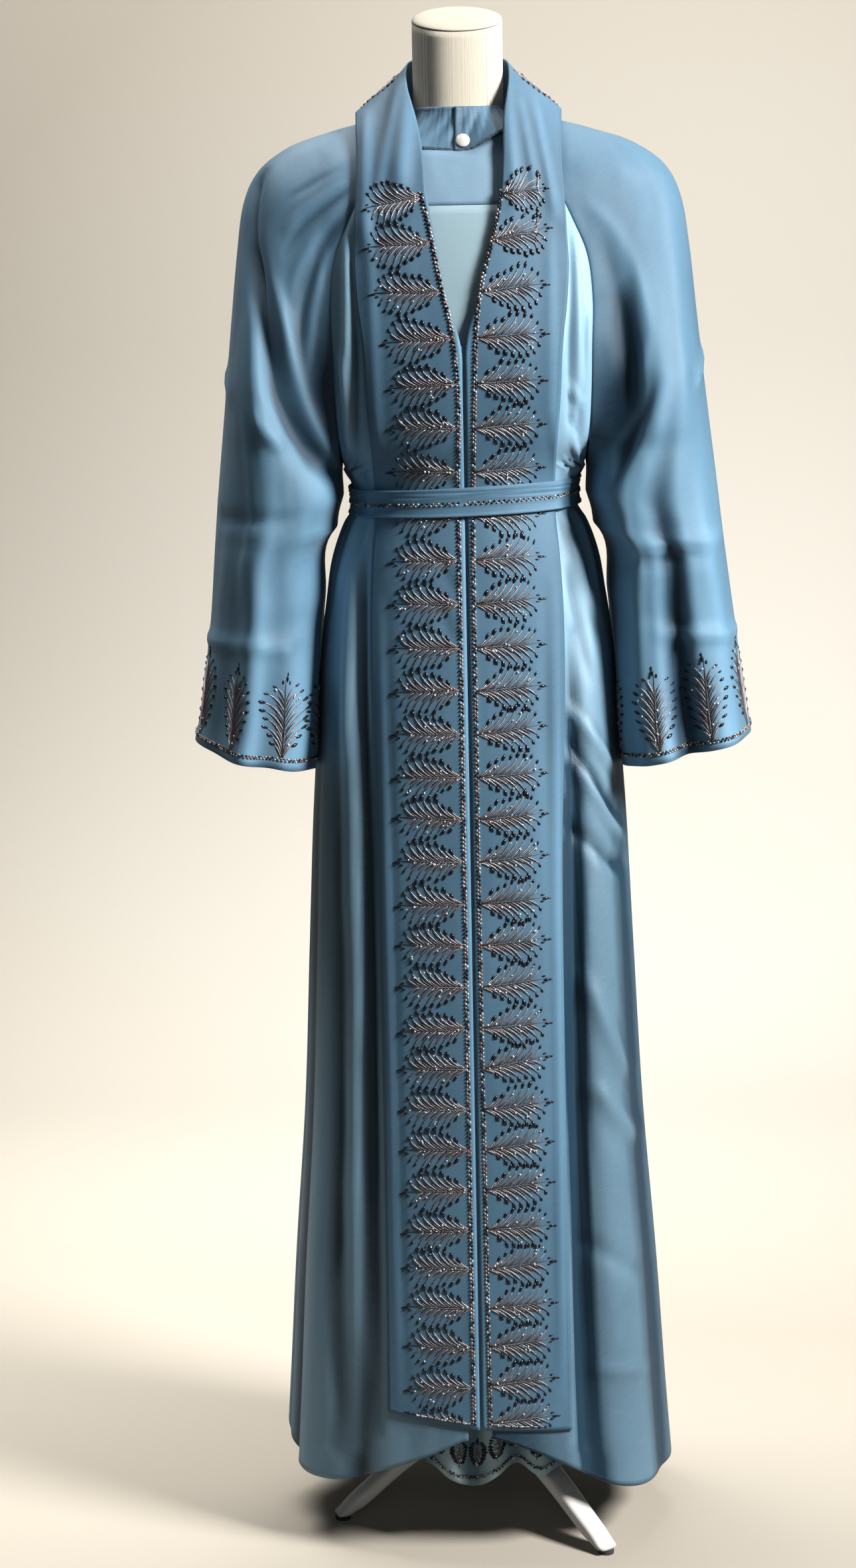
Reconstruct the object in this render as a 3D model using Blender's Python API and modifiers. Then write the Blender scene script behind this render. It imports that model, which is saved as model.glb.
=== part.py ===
"""Abaya cloak with an embroidered front band and belt, standing on a limbless dress form.

Metres, +Z up, the front faces -Y. Left and right are the wearer's: the right side is at -X.
Each cloth piece is an open surface, its inner face, given a wall by Solidify. The surfaces are
worked out from a table of body rings, a table of sleeve loops and a table of band edges.
"""
import math

import bpy
import numpy as np
from mathutils import Matrix

COLLECTION = "abaya_cloak_on_dress_form"

# Cloth walls and the gaps between pieces
PANEL_WALL = 0.0015
BAND_WALL = 0.0018
BELT_WALL = 0.0020
SEAM = 0.0004            # each piece stops this far short of the seam line
SLEEVE_SEAM = 0.0010     # the sleeve turns away at the raglan seam, so its wall needs more room
UNDERARM_LAP = 0.0046    # and it laps over the panel's edge where it turns sharply at the underarm
LIFT = 0.0013            # space between a piece and what lies on it
SKIRT_CLEARANCE = 0.0050 # the free part of a sleeve stays this far from the skirt
SKIRT_SOFTNESS = 0.0025  # over this length the push away from the skirt fades in

# Grid columns of each cloth piece
FRONT_COLUMNS = 21
BACK_COLUMNS = 31
SLEEVE_COLUMNS = 13
INSET_COLUMNS = 13
YOKE_COLUMNS = 9
COLLAR_COLUMNS = 29
BELT_COLUMNS = 48
BAND_SHARES = (0.0, 0.22, 0.42, 0.60, 0.75, 0.88, 1.0)   # across the band's width

# Levels
TOP_Z = 1.516            # top edge of the front and back panels, under the collar
UNDERARM_Z = 1.174       # where the sleeve leaves the body, just above the belt
BELT_TOP = 1.157
BELT_BOTTOM = 1.128
BELT_MIDDLE = (BELT_TOP + BELT_BOTTOM) / 2
BELT_EASE = 0.0006       # extra room under the belt
HEM_BLEND_Z = 0.30       # below this the rows slope towards the uneven hem
HEM_Z = 0.070
BAND_END_Z = 0.150

# Body rings: the inner face of the front and back panels
RING_POWER = 2.3
RINGS = (  # z, half_width, front_depth, back_depth
    (1.540, 0.084, 0.044, 0.058),
    (1.522, 0.104, 0.058, 0.070),
    (1.500, 0.128, 0.075, 0.084),
    (1.460, 0.168, 0.097, 0.102),
    (1.400, 0.186, 0.116, 0.112),
    (1.350, 0.190, 0.124, 0.112),
    (1.300, 0.188, 0.127, 0.108),
    (1.250, 0.178, 0.122, 0.104),
    (1.205, 0.158, 0.114, 0.100),
    (1.174, 0.127, 0.106, 0.096),
    (1.157, 0.1195, 0.103, 0.094),
    (1.128, 0.1195, 0.103, 0.094),
    (1.110, 0.128, 0.106, 0.100),
    (1.080, 0.139, 0.109, 0.108),
    (1.035, 0.148, 0.114, 0.118),
    (0.830, 0.166, 0.127, 0.142),
    (0.650, 0.175, 0.138, 0.155),
    (0.470, 0.184, 0.147, 0.159),
    (0.290, 0.198, 0.157, 0.164),
    (0.150, 0.207, 0.163, 0.168),
    (0.040, 0.215, 0.168, 0.172),
)

# Raglan seam between front or back panel and sleeve
RAGLAN = (  # z, half_width_at_seam
    (1.530, 0.089),
    (1.500, 0.093),
    (1.460, 0.101),
    (1.430, 0.114),
    (1.400, 0.127),
    (1.350, 0.134),
    (1.300, 0.133),
    (1.250, 0.132),
    (1.205, 0.1295),
    (1.190, 0.1280),
    (1.174, 0.1265),
)

# Hem height round the skirt: 0 degrees is the centre front, +90 the wearer's left side
HEM = (  # degrees, z
    (-180.0, 0.074),
    (-140.0, 0.078),
    (-112.0, 0.090),
    (-96.0, 0.094),
    (-82.0, 0.080),
    (-66.0, 0.077),
    (-50.0, 0.080),
    (-36.0, 0.098),
    (-20.0, 0.118),
    (0.0, 0.140),
    (20.0, 0.122),
    (34.0, 0.098),
    (48.0, 0.071),
    (70.0, 0.063),
    (90.0, 0.064),
    (120.0, 0.070),
    (150.0, 0.076),
    (180.0, 0.074),
)

# Hanging folds of the skirt: negative height is a trough
SKIRT_FOLDS = (  # degrees, half_spread, height
    (-172.0, 11.0, 0.011),
    (-151.0, 9.0, -0.011),
    (-132.0, 10.0, 0.010),
    (-112.0, 8.0, -0.010),
    (-97.0, 8.0, 0.006),
    (-79.0, 6.0, -0.009),
    (-62.0, 9.0, 0.006),
    (-44.0, 6.0, -0.007),
    (42.0, 6.0, -0.014),
    (57.0, 9.0, 0.005),
    (73.0, 7.0, -0.005),
    (103.0, 8.0, -0.009),
    (121.0, 10.0, 0.010),
    (141.0, 9.0, -0.011),
    (160.0, 9.0, 0.010),
    (178.0, 8.0, -0.008),
)

# Sleeve loops from the neck to the cuff: the overarm point and where the loop ends inside
LOOPS = (  # step, over_x_right, over_x_left, over_z, inner_x, inner_z, depth
    (0.00, 0.092, 0.092, 1.5335, 0.0000, 1.5160, 0.000),
    (0.10, 0.138, 0.138, 1.5215, 0.0000, 1.4820, 0.000),
    (0.20, 0.182, 0.184, 1.5055, 0.0000, 1.4450, 0.002),
    (0.28, 0.211, 0.215, 1.4830, 0.0000, 1.4080, 0.006),
    (0.36, 0.2270, 0.2315, 1.4500, 0.0000, 1.3650, 0.010),
    (0.44, 0.2350, 0.2400, 1.4000, 0.0000, 1.3250, 0.016),
    (0.52, 0.2430, 0.2475, 1.3300, 0.0000, 1.2720, 0.030),
    (0.60, 0.2520, 0.2570, 1.2450, 0.0000, 1.2150, 0.054),
    (0.66, 0.2605, 0.2665, 1.1650, 0.0000, 1.1740, 0.080),
    (0.74, 0.2670, 0.2745, 1.0950, 0.1370, 1.1100, 0.086),
    (0.82, 0.2740, 0.2850, 1.0150, 0.1500, 1.0300, 0.088),
    (0.90, 0.2820, 0.2930, 0.9560, 0.1510, 0.9550, 0.089),
    (0.96, 0.2890, 0.3000, 0.9100, 0.1530, 0.8920, 0.088),
    (1.00, 0.2950, 0.3040, 0.8840, 0.1580, 0.8520, 0.092),
)
UNDERARM_STEP = 0.66
FREE_STEP = 0.74         # from here the inner line of the sleeve hangs free
UNDERARM_X = 0.130       # its inner line never comes closer to the body's axis than this
LOOP_TURN = 0.74         # share of a quarter turn that the open loops above the underarm make
BACK_CUFF_DROP = 0.020   # the back of the cuff hangs lower in the middle
SLEEVE_FOLDS = (  # along_loop, half_spread, height
    (0.20, 0.070, 0.010),
    (0.36, 0.060, -0.010),
    (0.53, 0.070, 0.011),
    (0.70, 0.060, -0.010),
    (0.86, 0.060, 0.008),
)

# Collar and front band: inner and outer edge from the centre back of the neck downwards
BAND_EDGES = (  # step, inner_x, inner_y, inner_z, outer_x, outer_y, outer_z
    (0.0, 0.0003, 0.0570, 1.600, 0.0003, 0.0900, 1.502),
    (1.0, 0.0280, 0.0535, 1.599, 0.0450, 0.0875, 1.507),
    (2.0, 0.0495, 0.0230, 1.594, 0.0840, 0.0560, 1.526),
    (3.0, 0.0525, -0.0080, 1.582, 0.1040, 0.0130, 1.542),
    (4.0, 0.0500, -0.0370, 1.558, 0.1060, -0.0300, 1.535),
    (5.0, 0.0450, -0.0600, 1.530, 0.1050, -0.0620, 1.504),
    (6.0, 0.0425, -0.0800, 1.500, 0.1055, -0.0830, 1.470),
    (7.0, 0.0400, -0.0995, 1.462, 0.1080, -0.0970, 1.432),
)
BAND_FRONT = (  # z, inner_x, outer_x
    (1.460, 0.0400, 0.1060),
    (1.400, 0.0270, 0.1080),
    (1.348, 0.0150, 0.1060),
    (1.306, 0.0040, 0.1010),
    (1.250, 0.0040, 0.0980),
    (1.200, 0.0040, 0.0940),
    (1.145, 0.0040, 0.0910),
    (1.060, 0.0040, 0.0975),
    (1.000, 0.0040, 0.0995),
    (0.750, 0.0040, 0.0970),
    (0.450, 0.0040, 0.0955),
    (0.150, 0.0040, 0.0975),
)

BAND_OVERLAP = 0.009     # the front panel begins this far outside the band's inner edge
OPEN_NECK_Z = 1.460      # above this the front panel's edge stays at one half width
OPEN_NECK_X = 0.050
BAND_JOIN_Z = 1.440      # the band's rows run round the neck above this and across the front below it
BAND_ROUND_STEP = 7.0    # last step of the edge table
SHOULDER_DROP = 0.030    # the upper rows across the front drop outwards by this
BAND_HEM_RISE = 0.016    # the right band's hem rises outwards by this, the left one's drops by less

# Neck pieces
NECK_RADIUS = 0.0472
COLLAR_TOP_Z = 1.5455
COLLAR_FRONT_Z = 1.500
COLLAR_BACK_Z = 1.5315
YOKE_TOP_Z = 1.4985
YOKE_BOTTOM_Z = 1.4450
YOKE_HALF_WIDTH = 0.047
YOKE_OFF_CENTRE = 0.001
INSET_HALF_WIDTH = 0.046
INSET_DEPTH = 0.0038     # the yoke and the inset lie this far behind the front panels' surface
INSET_SLOPE_Z = 0.22     # below this its rows slope towards its own hem
BUTTON_RADIUS = 0.0075
BUTTON_X = 0.004
BUTTON_Y = -0.0640
BUTTON_Z = 1.5110
BUTTON_TILT = math.radians(25.0)
INSET_HEM = (  # along_width, z
    (0.00, 0.098),
    (0.18, 0.082),
    (0.34, 0.070),
    (0.50, 0.086),
    (0.66, 0.096),
    (0.82, 0.082),
    (1.00, 0.094),
)

# Dress form and stand
FORM_RINGS = (  # z, half_width, front_depth, back_depth
    (1.5300, 0.047, 0.040, 0.046),
    (1.5240, 0.100, 0.040, 0.050),
    (1.5100, 0.150, 0.048, 0.0560),
    (1.4950, 0.184, 0.064, 0.0732),
    (1.4700, 0.205, 0.074, 0.082),
    (1.4350, 0.212, 0.088, 0.092),
    (1.4000, 0.198, 0.100, 0.096),
    (1.3600, 0.166, 0.110, 0.096),
    (1.3100, 0.142, 0.112, 0.092),
    (1.2500, 0.124, 0.104, 0.086),
    (1.1800, 0.108, 0.094, 0.082),
    (1.1400, 0.105, 0.091, 0.080),
    (1.0700, 0.116, 0.096, 0.090),
    (1.0000, 0.128, 0.100, 0.098),
    (0.9000, 0.134, 0.102, 0.102),
    (0.8600, 0.130, 0.098, 0.098),
)
NECK_BASE_Z = 1.5304
NECK_SEAM_Z = 1.6340
NECK_TILT = math.radians(16.0)
CAP_RISE = 0.0075
CAP_SEAM = 0.0010        # gap between the neck and its cap
FORM_SIDES = 28
FORM_POWER = 2.1
POLE_RADIUS = 0.0125
HUB_RADIUS = 0.030
HUB_TOP = 0.116
HUB_BOTTOM = 0.072
HUB_X = 0.006
LEGS = (  # name, degrees, reach
    ("front_left", -49.0, 0.196),
    ("front_right", 196.0, 0.168),
    ("rear", 78.0, 0.170),
)
LEG_PATH = (  # along_reach, z
    (0.165, 0.0940),
    (0.330, 0.0850),
    (0.500, 0.0695),
    (0.660, 0.0510),
    (0.820, 0.0295),
    (1.000, 0.0065),
)
LEG_TAPER = (1.0, 1.0, 1.0, 0.98, 0.94, 0.88)
LEG_WIDTH = 0.028
LEG_DEPTH = 0.018
PAD_RADIUS = 0.0085
PAD_HEIGHT = 0.0062

# Finishes
FINISHES = {  # name: (colour, roughness, metallic)
    "satin": ((0.135, 0.270, 0.400), 0.38, 0.0),
    "matte_crepe": ((0.180, 0.330, 0.430), 0.65, 0.0),
    "pearl": ((0.850, 0.830, 0.790), 0.22, 0.0),
    "form_linen": ((0.780, 0.740, 0.670), 0.85, 0.0),
    "white_wood": ((0.860, 0.850, 0.820), 0.40, 0.0),
    "steel": ((0.700, 0.700, 0.690), 0.35, 0.8),
    "rubber": ((0.060, 0.060, 0.060), 0.80, 0.0),
}


def clear_scene():
    """Remove every object and collection that is already there."""
    for old in list(bpy.data.objects):
        bpy.data.objects.remove(old, do_unlink=True)
    for old in list(bpy.data.collections):
        bpy.data.collections.remove(old)


def spline(table, column, at):
    """A smooth curve through one column of a table, read at a value of its first column."""
    rows = np.array(table, dtype=float)
    if rows[0, 0] > rows[-1, 0]:
        rows = rows[::-1]
    key = rows[:, 0]
    value = rows[:, column]
    slope = np.gradient(value, key)
    at = np.clip(np.asarray(at, dtype=float), key[0], key[-1])
    i = np.clip(np.searchsorted(key, at, side="right") - 1, 0, len(key) - 2)
    span = key[i + 1] - key[i]
    t = (at - key[i]) / span
    return ((2 * t**3 - 3 * t**2 + 1) * value[i] + (t**3 - 2 * t**2 + t) * span * slope[i]
            + (3 * t**2 - 2 * t**3) * value[i + 1] + (t**3 - t**2) * span * slope[i + 1])


def ramp(start, end, at):
    """0 at start, 1 at end, with a soft rise between."""
    t = np.clip((np.asarray(at, dtype=float) - start) / (end - start), 0.0, 1.0)
    return t * t * (3.0 - 2.0 * t)


def fold_sum(folds, at):
    """Sum of rounded ridges and troughs, each a bell curve at its own place."""
    total = np.zeros_like(np.asarray(at, dtype=float))
    for place, spread, height in folds:
        total = total + height * np.exp(-0.5 * ((at - place) / (0.6 * spread)) ** 2)
    return total


def body_radius(angle, z):
    """Distance from the body's axis to the panels' inner face, with the skirt's folds."""
    half_width = spline(RINGS, 1, z)
    depth = np.where(np.cos(angle) > 0.0, spline(RINGS, 2, z), spline(RINGS, 3, z))
    radius = ((np.abs(np.sin(angle)) / half_width) ** RING_POWER
              + (np.abs(np.cos(angle)) / depth) ** RING_POWER) ** (-1.0 / RING_POWER)
    degrees = np.degrees(angle)
    growth = ramp(BELT_BOTTOM, 0.55, z) * 0.6 + 0.4 * ramp(0.60, HEM_Z, z)
    folds = fold_sum(SKIRT_FOLDS, degrees) + fold_sum(SKIRT_FOLDS, degrees - 360.0)
    folds = folds + fold_sum(SKIRT_FOLDS, degrees + 360.0)
    return radius + growth * folds


def body_point(angle, z, out=0.0):
    """A point on the body's surface, moved out from the axis."""
    radius = body_radius(angle, z) + out
    return np.stack((radius * np.sin(angle), -radius * np.cos(angle), z + 0.0 * angle), axis=-1)


def angle_at(x, z, back=False):
    """The angle round the body at which the plain ring has this half width."""
    half_width = spline(RINGS, 1, z)
    depth = spline(RINGS, 3 if back else 2, z)
    share = np.clip(x / half_width, 0.0, 0.9995)
    y = depth * (1.0 - share**RING_POWER) ** (1.0 / RING_POWER)
    return np.arctan2(x, -y) if back else np.arctan2(x, y)


def plain_front(x, z):
    """Depth of the plain ring in front of the body's axis at this half width."""
    half_width = spline(RINGS, 1, z)
    return spline(RINGS, 2, z) * (1.0 - (np.abs(x) / half_width) ** RING_POWER) ** (1.0 / RING_POWER)


def seam_angle(z, back=False):
    """Angle of the raglan seam above the underarm, and of the side seam below it."""
    side = math.pi / 2
    raglan = angle_at(spline(RAGLAN, 1, z), z, back)
    return np.where(z < UNDERARM_Z - 0.001, side, raglan)


def hem_height(z, angle):
    """Rows near the hem slope so that the last row follows the hem's own line."""
    hem = spline(HEM, 1, np.degrees(angle))
    low = HEM_BLEND_Z - (HEM_BLEND_Z - z) * (HEM_BLEND_Z - hem) / (HEM_BLEND_Z - HEM_Z)
    return np.where(z < HEM_BLEND_Z, low, z)


def rows_of_panel():
    """Heights of a panel's rows: close together at the waist, wider apart down the skirt."""
    return np.concatenate((
        np.linspace(TOP_Z, 1.215, 8),
        (1.192, UNDERARM_Z, BELT_TOP - 0.002, BELT_MIDDLE, BELT_BOTTOM + 0.002, 1.105, 1.070, 1.025),
        np.linspace(0.950, 0.290, 5),
        (0.200, 0.130, HEM_Z),
    ))


def front_grid(side):
    """The front panel from under its band to the raglan seam and the side seam."""
    def inner(z):
        edge = spline(BAND_FRONT, 1, z) + BAND_OVERLAP
        return angle_at(np.where(z > OPEN_NECK_Z, OPEN_NECK_X, edge), z)

    def outer(z):
        return seam_angle(z) - SEAM / body_radius(math.pi / 2, z)

    z = rows_of_panel()[:, None] * np.ones(FRONT_COLUMNS)
    share = np.linspace(0.0, 1.0, FRONT_COLUMNS)[None, :]
    start = inner(z[:, :1])
    angle = side * (start + (outer(z[:, :1]) - start) * share)
    return body_point(angle, hem_height(z, angle))


def back_grid():
    """The back panel between the two raglan and side seams."""
    def edge(z):
        return seam_angle(z, back=True) + SEAM / body_radius(math.pi / 2, z)

    z = rows_of_panel()[:, None] * np.ones(BACK_COLUMNS)
    share = np.linspace(0.0, 1.0, BACK_COLUMNS)[None, :]
    start = edge(z[:, :1])
    angle = start + (2 * math.pi - 2 * start) * share
    turned = np.where(angle > math.pi, angle - 2 * math.pi, angle)
    return body_point(angle, hem_height(z, turned))


def clear_of_skirt(point):
    """Push a sleeve point outwards where it would come closer than a few millimetres to the skirt."""
    x, y, z = point[..., 0], point[..., 1], point[..., 2]
    angle = np.arctan2(x, -y)
    radius = np.hypot(x, y)
    share = ramp(UNDERARM_Z + 0.002, BELT_TOP, z)
    limit = body_radius(angle, z) + PANEL_WALL + SKIRT_CLEARANCE
    pushed = limit + SKIRT_SOFTNESS * np.logaddexp(0.0, (radius - limit) / SKIRT_SOFTNESS)
    scale = (1.0 + share * (pushed / radius - 1.0))[..., None]
    flat = point * np.array((1.0, 1.0, 0.0)) * scale
    return flat + point * np.array((0.0, 0.0, 1.0))


def sleeve_grid(side, back):
    """One half of a sleeve: loops from the overarm line to the raglan seam or underarm line."""
    dense = np.linspace(0.0, UNDERARM_STEP, 400)
    shared = [z for z in rows_of_panel() if z >= UNDERARM_Z]
    joined = np.interp(-np.array(shared), -spline(LOOPS, 5, dense), dense)
    steps = np.concatenate((joined, (0.69,), np.linspace(0.73, 1.0, 7)))
    t = steps[:, None] * np.ones(SLEEVE_COLUMNS)
    s = np.linspace(0.0, 1.0, SLEEVE_COLUMNS)[None, :] * np.ones_like(t)
    facing = 1.0 if back else -1.0
    over_x = spline(LOOPS, 1 if side < 0 else 2, t)
    over_z = spline(LOOPS, 3, t)
    inner_z = spline(LOOPS, 5, t)
    seam = seam_angle(inner_z, back)
    leave = ramp(0.56, 0.70, t)
    gap = (SLEEVE_SEAM + PANEL_WALL * leave) / body_radius(math.pi / 2, inner_z)
    raglan = body_point(seam - gap if back else seam + gap, inner_z, UNDERARM_LAP * leave)
    free = ramp(UNDERARM_STEP, FREE_STEP, t)
    inner_x = raglan[..., 0] + (spline(LOOPS, 4, np.maximum(t, FREE_STEP)) - raglan[..., 0]) * free
    inner_x = np.where(t > UNDERARM_STEP + 0.001, np.maximum(inner_x, UNDERARM_X), inner_x)
    inner_y = np.where(t > UNDERARM_STEP + 0.001, facing * SLEEVE_SEAM, raglan[..., 1])
    quarter = LOOP_TURN * math.pi / 2
    swing_open = (1.0 - np.cos(quarter * s)) / (1.0 - math.cos(quarter))
    swing_ring = (1.0 - np.cos(math.pi * s)) / 2.0
    swing = swing_open + (swing_ring - swing_open) * leave
    rise_open = np.sin(quarter * s) / math.sin(quarter)
    x = over_x + (inner_x - over_x) * swing
    z = over_z + (inner_z - over_z) * swing
    bulge = np.maximum(np.sin(math.pi * s), 0.0) ** (1.6 - 0.75 * leave)
    y = facing * SEAM + (inner_y - facing * SEAM) * rise_open
    y = y + facing * spline(LOOPS, 6, t) * bulge
    grown = 0.25 * ramp(0.30, 0.66, t) + 0.75 * ramp(0.66, 1.0, t)
    y = y + facing * grown * np.maximum(np.sin(math.pi * s), 0.0) ** 0.9 * fold_sum(SLEEVE_FOLDS, s)
    cuff = ramp(0.80, 1.0, t)
    z = z - (BACK_CUFF_DROP if back else 0.0) * cuff * np.sin(math.pi * s)
    grid = np.stack((side * x, y, z), axis=-1)
    return clear_of_skirt(grid)


def band_grid(side):
    """Collar and front band: round the neck from its edge table, then down the front panel."""
    q = np.array(BAND_SHARES)
    upper = []
    for p in np.arange(0.0, BAND_ROUND_STEP + 0.1, 0.5):
        inner = np.array([spline(BAND_EDGES, c, p) for c in (1, 2, 3)])
        outer = np.array([spline(BAND_EDGES, c, p) for c in (4, 5, 6)])
        row = inner + (outer - inner) * q[:, None]
        row[:, 2] = row[:, 2] + 0.004 * np.sin(math.pi * q)
        upper.append(row * np.array((side, 1.0, 1.0)))
    lower = []
    heights = [z for z in rows_of_panel() if BAND_END_Z + 0.04 < z < BAND_JOIN_Z] + [BAND_END_Z]
    for z in heights:
        x = spline(BAND_FRONT, 1, z) + (spline(BAND_FRONT, 2, z) - spline(BAND_FRONT, 1, z)) * q
        drop = -SHOULDER_DROP * q * ramp(1.36, BAND_JOIN_Z, z)
        hem_rise = BAND_HEM_RISE * (q if side < 0 else -0.4 * q) * ramp(HEM_BLEND_Z, BAND_END_Z, z)
        level = z + drop + hem_rise
        lower.append(body_point(side * angle_at(x, level), level, PANEL_WALL + LIFT))
    return np.array(upper + lower)


def inset_grid():
    """The panel behind the opening: it shows in the V, between the bands and below them."""
    z = np.concatenate((np.linspace(YOKE_BOTTOM_Z, 1.20, 5), (BELT_TOP, BELT_BOTTOM, 1.05),
                        np.linspace(0.90, 0.30, 4), (INSET_SLOPE_Z, 0.16, 0.12, HEM_Z)))
    q = np.linspace(0.0, 1.0, INSET_COLUMNS)[None, :]
    z = z[:, None] * np.ones(INSET_COLUMNS)
    wide = ramp(0.60, 0.20, z)
    left = -INSET_HALF_WIDTH - 0.014 * wide
    right = INSET_HALF_WIDTH + 0.050 * wide
    x = left + (right - left) * q
    hem = spline(INSET_HEM, 1, q + 0.0 * z)
    slope = (INSET_SLOPE_Z - hem) / (INSET_SLOPE_Z - HEM_Z)
    level = np.where(z < INSET_SLOPE_Z, INSET_SLOPE_Z - (INSET_SLOPE_Z - z) * slope, z)
    depth_in = INSET_DEPTH + 0.0300 * ramp(0.70, 0.15, z)
    wave = 0.0070 * np.sin(2 * math.pi * 3.5 * q + 0.6) * ramp(0.34, 0.12, z)
    return np.stack((x, -(plain_front(x, z) - depth_in) + wave, level), axis=-1)


def yoke_grid():
    """The upper chest piece between the stand collar and the inset."""
    z = np.linspace(YOKE_TOP_Z, YOKE_BOTTOM_Z + 2 * SEAM, 4)[:, None] * np.ones(YOKE_COLUMNS)
    x = np.linspace(-YOKE_HALF_WIDTH, YOKE_HALF_WIDTH, YOKE_COLUMNS)[None, :] + YOKE_OFF_CENTRE
    x = x * np.ones_like(z)
    return np.stack((x, -(plain_front(x, z) - INSET_DEPTH), z), axis=-1)


def collar_grid():
    """Stand collar: a strip round the neck that opens at the centre front."""
    angle = np.linspace(math.radians(0.4), math.radians(359.6), COLLAR_COLUMNS)[None, :]
    turned = np.where(angle > math.pi, angle - 2 * math.pi, angle)
    v = np.array((0.0, 0.5, 1.0))[:, None]
    dip = ramp(math.radians(55.0), math.radians(15.0), np.abs(turned))
    low = COLLAR_BACK_Z + (COLLAR_FRONT_Z - COLLAR_BACK_Z) * dip
    z = COLLAR_TOP_Z + (low - COLLAR_TOP_Z) * v
    flare = 0.0020 * v + 0.0150 * dip * v**1.4
    radius = NECK_RADIUS + 0.0007 + flare
    return np.stack((radius * np.sin(angle), -radius * np.cos(angle), z), axis=-1)


def belt_grid():
    """Belt: a closed strip that follows the waist and steps out over the bands."""
    angle = np.linspace(0.0, 2 * math.pi, BELT_COLUMNS + 1)[:-1][None, :] * np.ones((3, 1))
    z = np.array((BELT_TOP, BELT_MIDDLE, BELT_BOTTOM))[:, None] * np.ones((1, BELT_COLUMNS))
    turned = np.where(angle > math.pi, angle - 2 * math.pi, angle)
    x = np.abs(body_point(angle, z)[..., 0])
    over_band = np.where(np.abs(turned) < math.pi / 2, ramp(0.104, 0.092, x), 0.0)
    out = PANEL_WALL + LIFT + BELT_EASE + over_band * (BAND_WALL + LIFT)
    return body_point(angle, z, out)


def finish_material(name):
    """A Principled material with one of the part's finishes."""
    material = bpy.data.materials.get(name)
    if material is None:
        colour, rough, metal = FINISHES[name]
        material = bpy.data.materials.new(name)
        material.use_nodes = True
        shader = material.node_tree.nodes["Principled BSDF"]
        shader.inputs["Base Color"].default_value = (*colour, 1.0)
        shader.inputs["Roughness"].default_value = rough
        shader.inputs["Metallic"].default_value = metal
        material.diffuse_color = (*colour, 1.0)
    return material


def place(name, mesh, finish):
    """Put a mesh into the part's collection under its sub-part's name."""
    mesh.validate()
    mesh.shade_smooth()
    thing = bpy.data.objects.new(name, mesh)
    bpy.data.collections[COLLECTION].objects.link(thing)
    mesh.materials.append(finish_material(finish))
    return thing


def grid_mesh(name, grid, closed=False, caps=False, flip=False):
    """A mesh over rows of points: closed joins the last column to the first."""
    rows, columns = grid.shape[:2]
    row = np.arange(rows - 1)[:, None]
    column = np.arange(columns if closed else columns - 1)[None, :]
    following = (column + 1) % columns
    quads = np.stack((row * columns + column, (row + 1) * columns + column,
                      (row + 1) * columns + following, row * columns + following), axis=-1).reshape(-1, 4)
    faces = [tuple(q) for q in quads.tolist()]
    if caps:
        faces.append(tuple(range(columns)))
        faces.append(tuple(range((rows - 1) * columns, rows * columns))[::-1])
    if flip:
        faces = [face[::-1] for face in faces]
    mesh = bpy.data.meshes.new(name)
    mesh.from_pydata(grid.reshape(-1, 3).tolist(), [], faces)
    return mesh


def cloth(name, grid, wall, finish, closed=False, flip=False):
    """A cloth piece: the grid is its inner face, and Solidify grows the wall outwards."""
    thing = place(name, grid_mesh(name, grid, closed=closed, flip=flip), finish)
    thicken = thing.modifiers.new("wall", "SOLIDIFY")
    thicken.thickness = wall
    thicken.offset = 1.0
    return thing


def torso_grid():
    """Points of the torso's stacked rings, each row of its table one closed section."""
    angle = np.linspace(0.0, 2 * math.pi, FORM_SIDES + 1)[:-1]
    stack = []
    for z, half_width, front, back in FORM_RINGS:
        depth = np.where(np.cos(angle) > 0.0, front, back)
        radius = ((np.abs(np.sin(angle)) / half_width) ** FORM_POWER
                  + (np.abs(np.cos(angle)) / depth) ** FORM_POWER) ** (-1.0 / FORM_POWER)
        stack.append(np.stack((radius * np.sin(angle), -radius * np.cos(angle), z + 0.0 * angle), axis=-1))
    return np.array(stack)


def make_form():
    """Torso, neck and cap of the dress form."""
    place("form_torso", grid_mesh("form_torso", torso_grid(), closed=True, caps=True), "form_linen")
    angle = np.linspace(0.0, 2 * math.pi, 25)[:-1]
    lean = math.tan(NECK_TILT)
    rings = []
    for share, radius in ((1.0, 1.0), (0.66, 1.0), (0.33, 1.0), (0.12, 1.004), (0.0, 1.03)):
        r = NECK_RADIUS * radius
        z = NECK_BASE_Z + (NECK_SEAM_Z - NECK_BASE_Z) * share - lean * r * np.cos(angle) * share
        rings.append(np.stack((r * np.sin(angle), -r * np.cos(angle), z), axis=-1))
    place("form_neck", grid_mesh("form_neck", np.array(rings), closed=True, caps=True), "form_linen")
    cap = []
    for share, rise in ((0.12, 1.0), (0.45, 0.94), (0.78, 0.70), (0.95, 0.34), (1.0, 0.0)):
        r = NECK_RADIUS * share
        z = NECK_SEAM_Z + CAP_SEAM + CAP_RISE * rise - lean * r * np.cos(angle)
        cap.append(np.stack((r * np.sin(angle), -r * np.cos(angle), z), axis=-1))
    place("form_neck_cap", grid_mesh("form_neck_cap", np.array(cap), closed=True, caps=True), "form_linen")


def cylinder(name, radius, bottom, top, centre, finish, sides=20):
    """An upright cylinder from a primitive."""
    bpy.ops.mesh.primitive_cylinder_add(vertices=sides, radius=radius, depth=top - bottom,
                                        location=(centre[0], centre[1], (top + bottom) / 2))
    made = bpy.context.object
    made.name = name
    for owner in list(made.users_collection):
        owner.objects.unlink(made)
    bpy.data.collections[COLLECTION].objects.link(made)
    made.data.materials.append(finish_material(finish))
    made.data.shade_smooth()
    made.data.set_sharp_from_angle(angle=math.radians(40))
    return made


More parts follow.
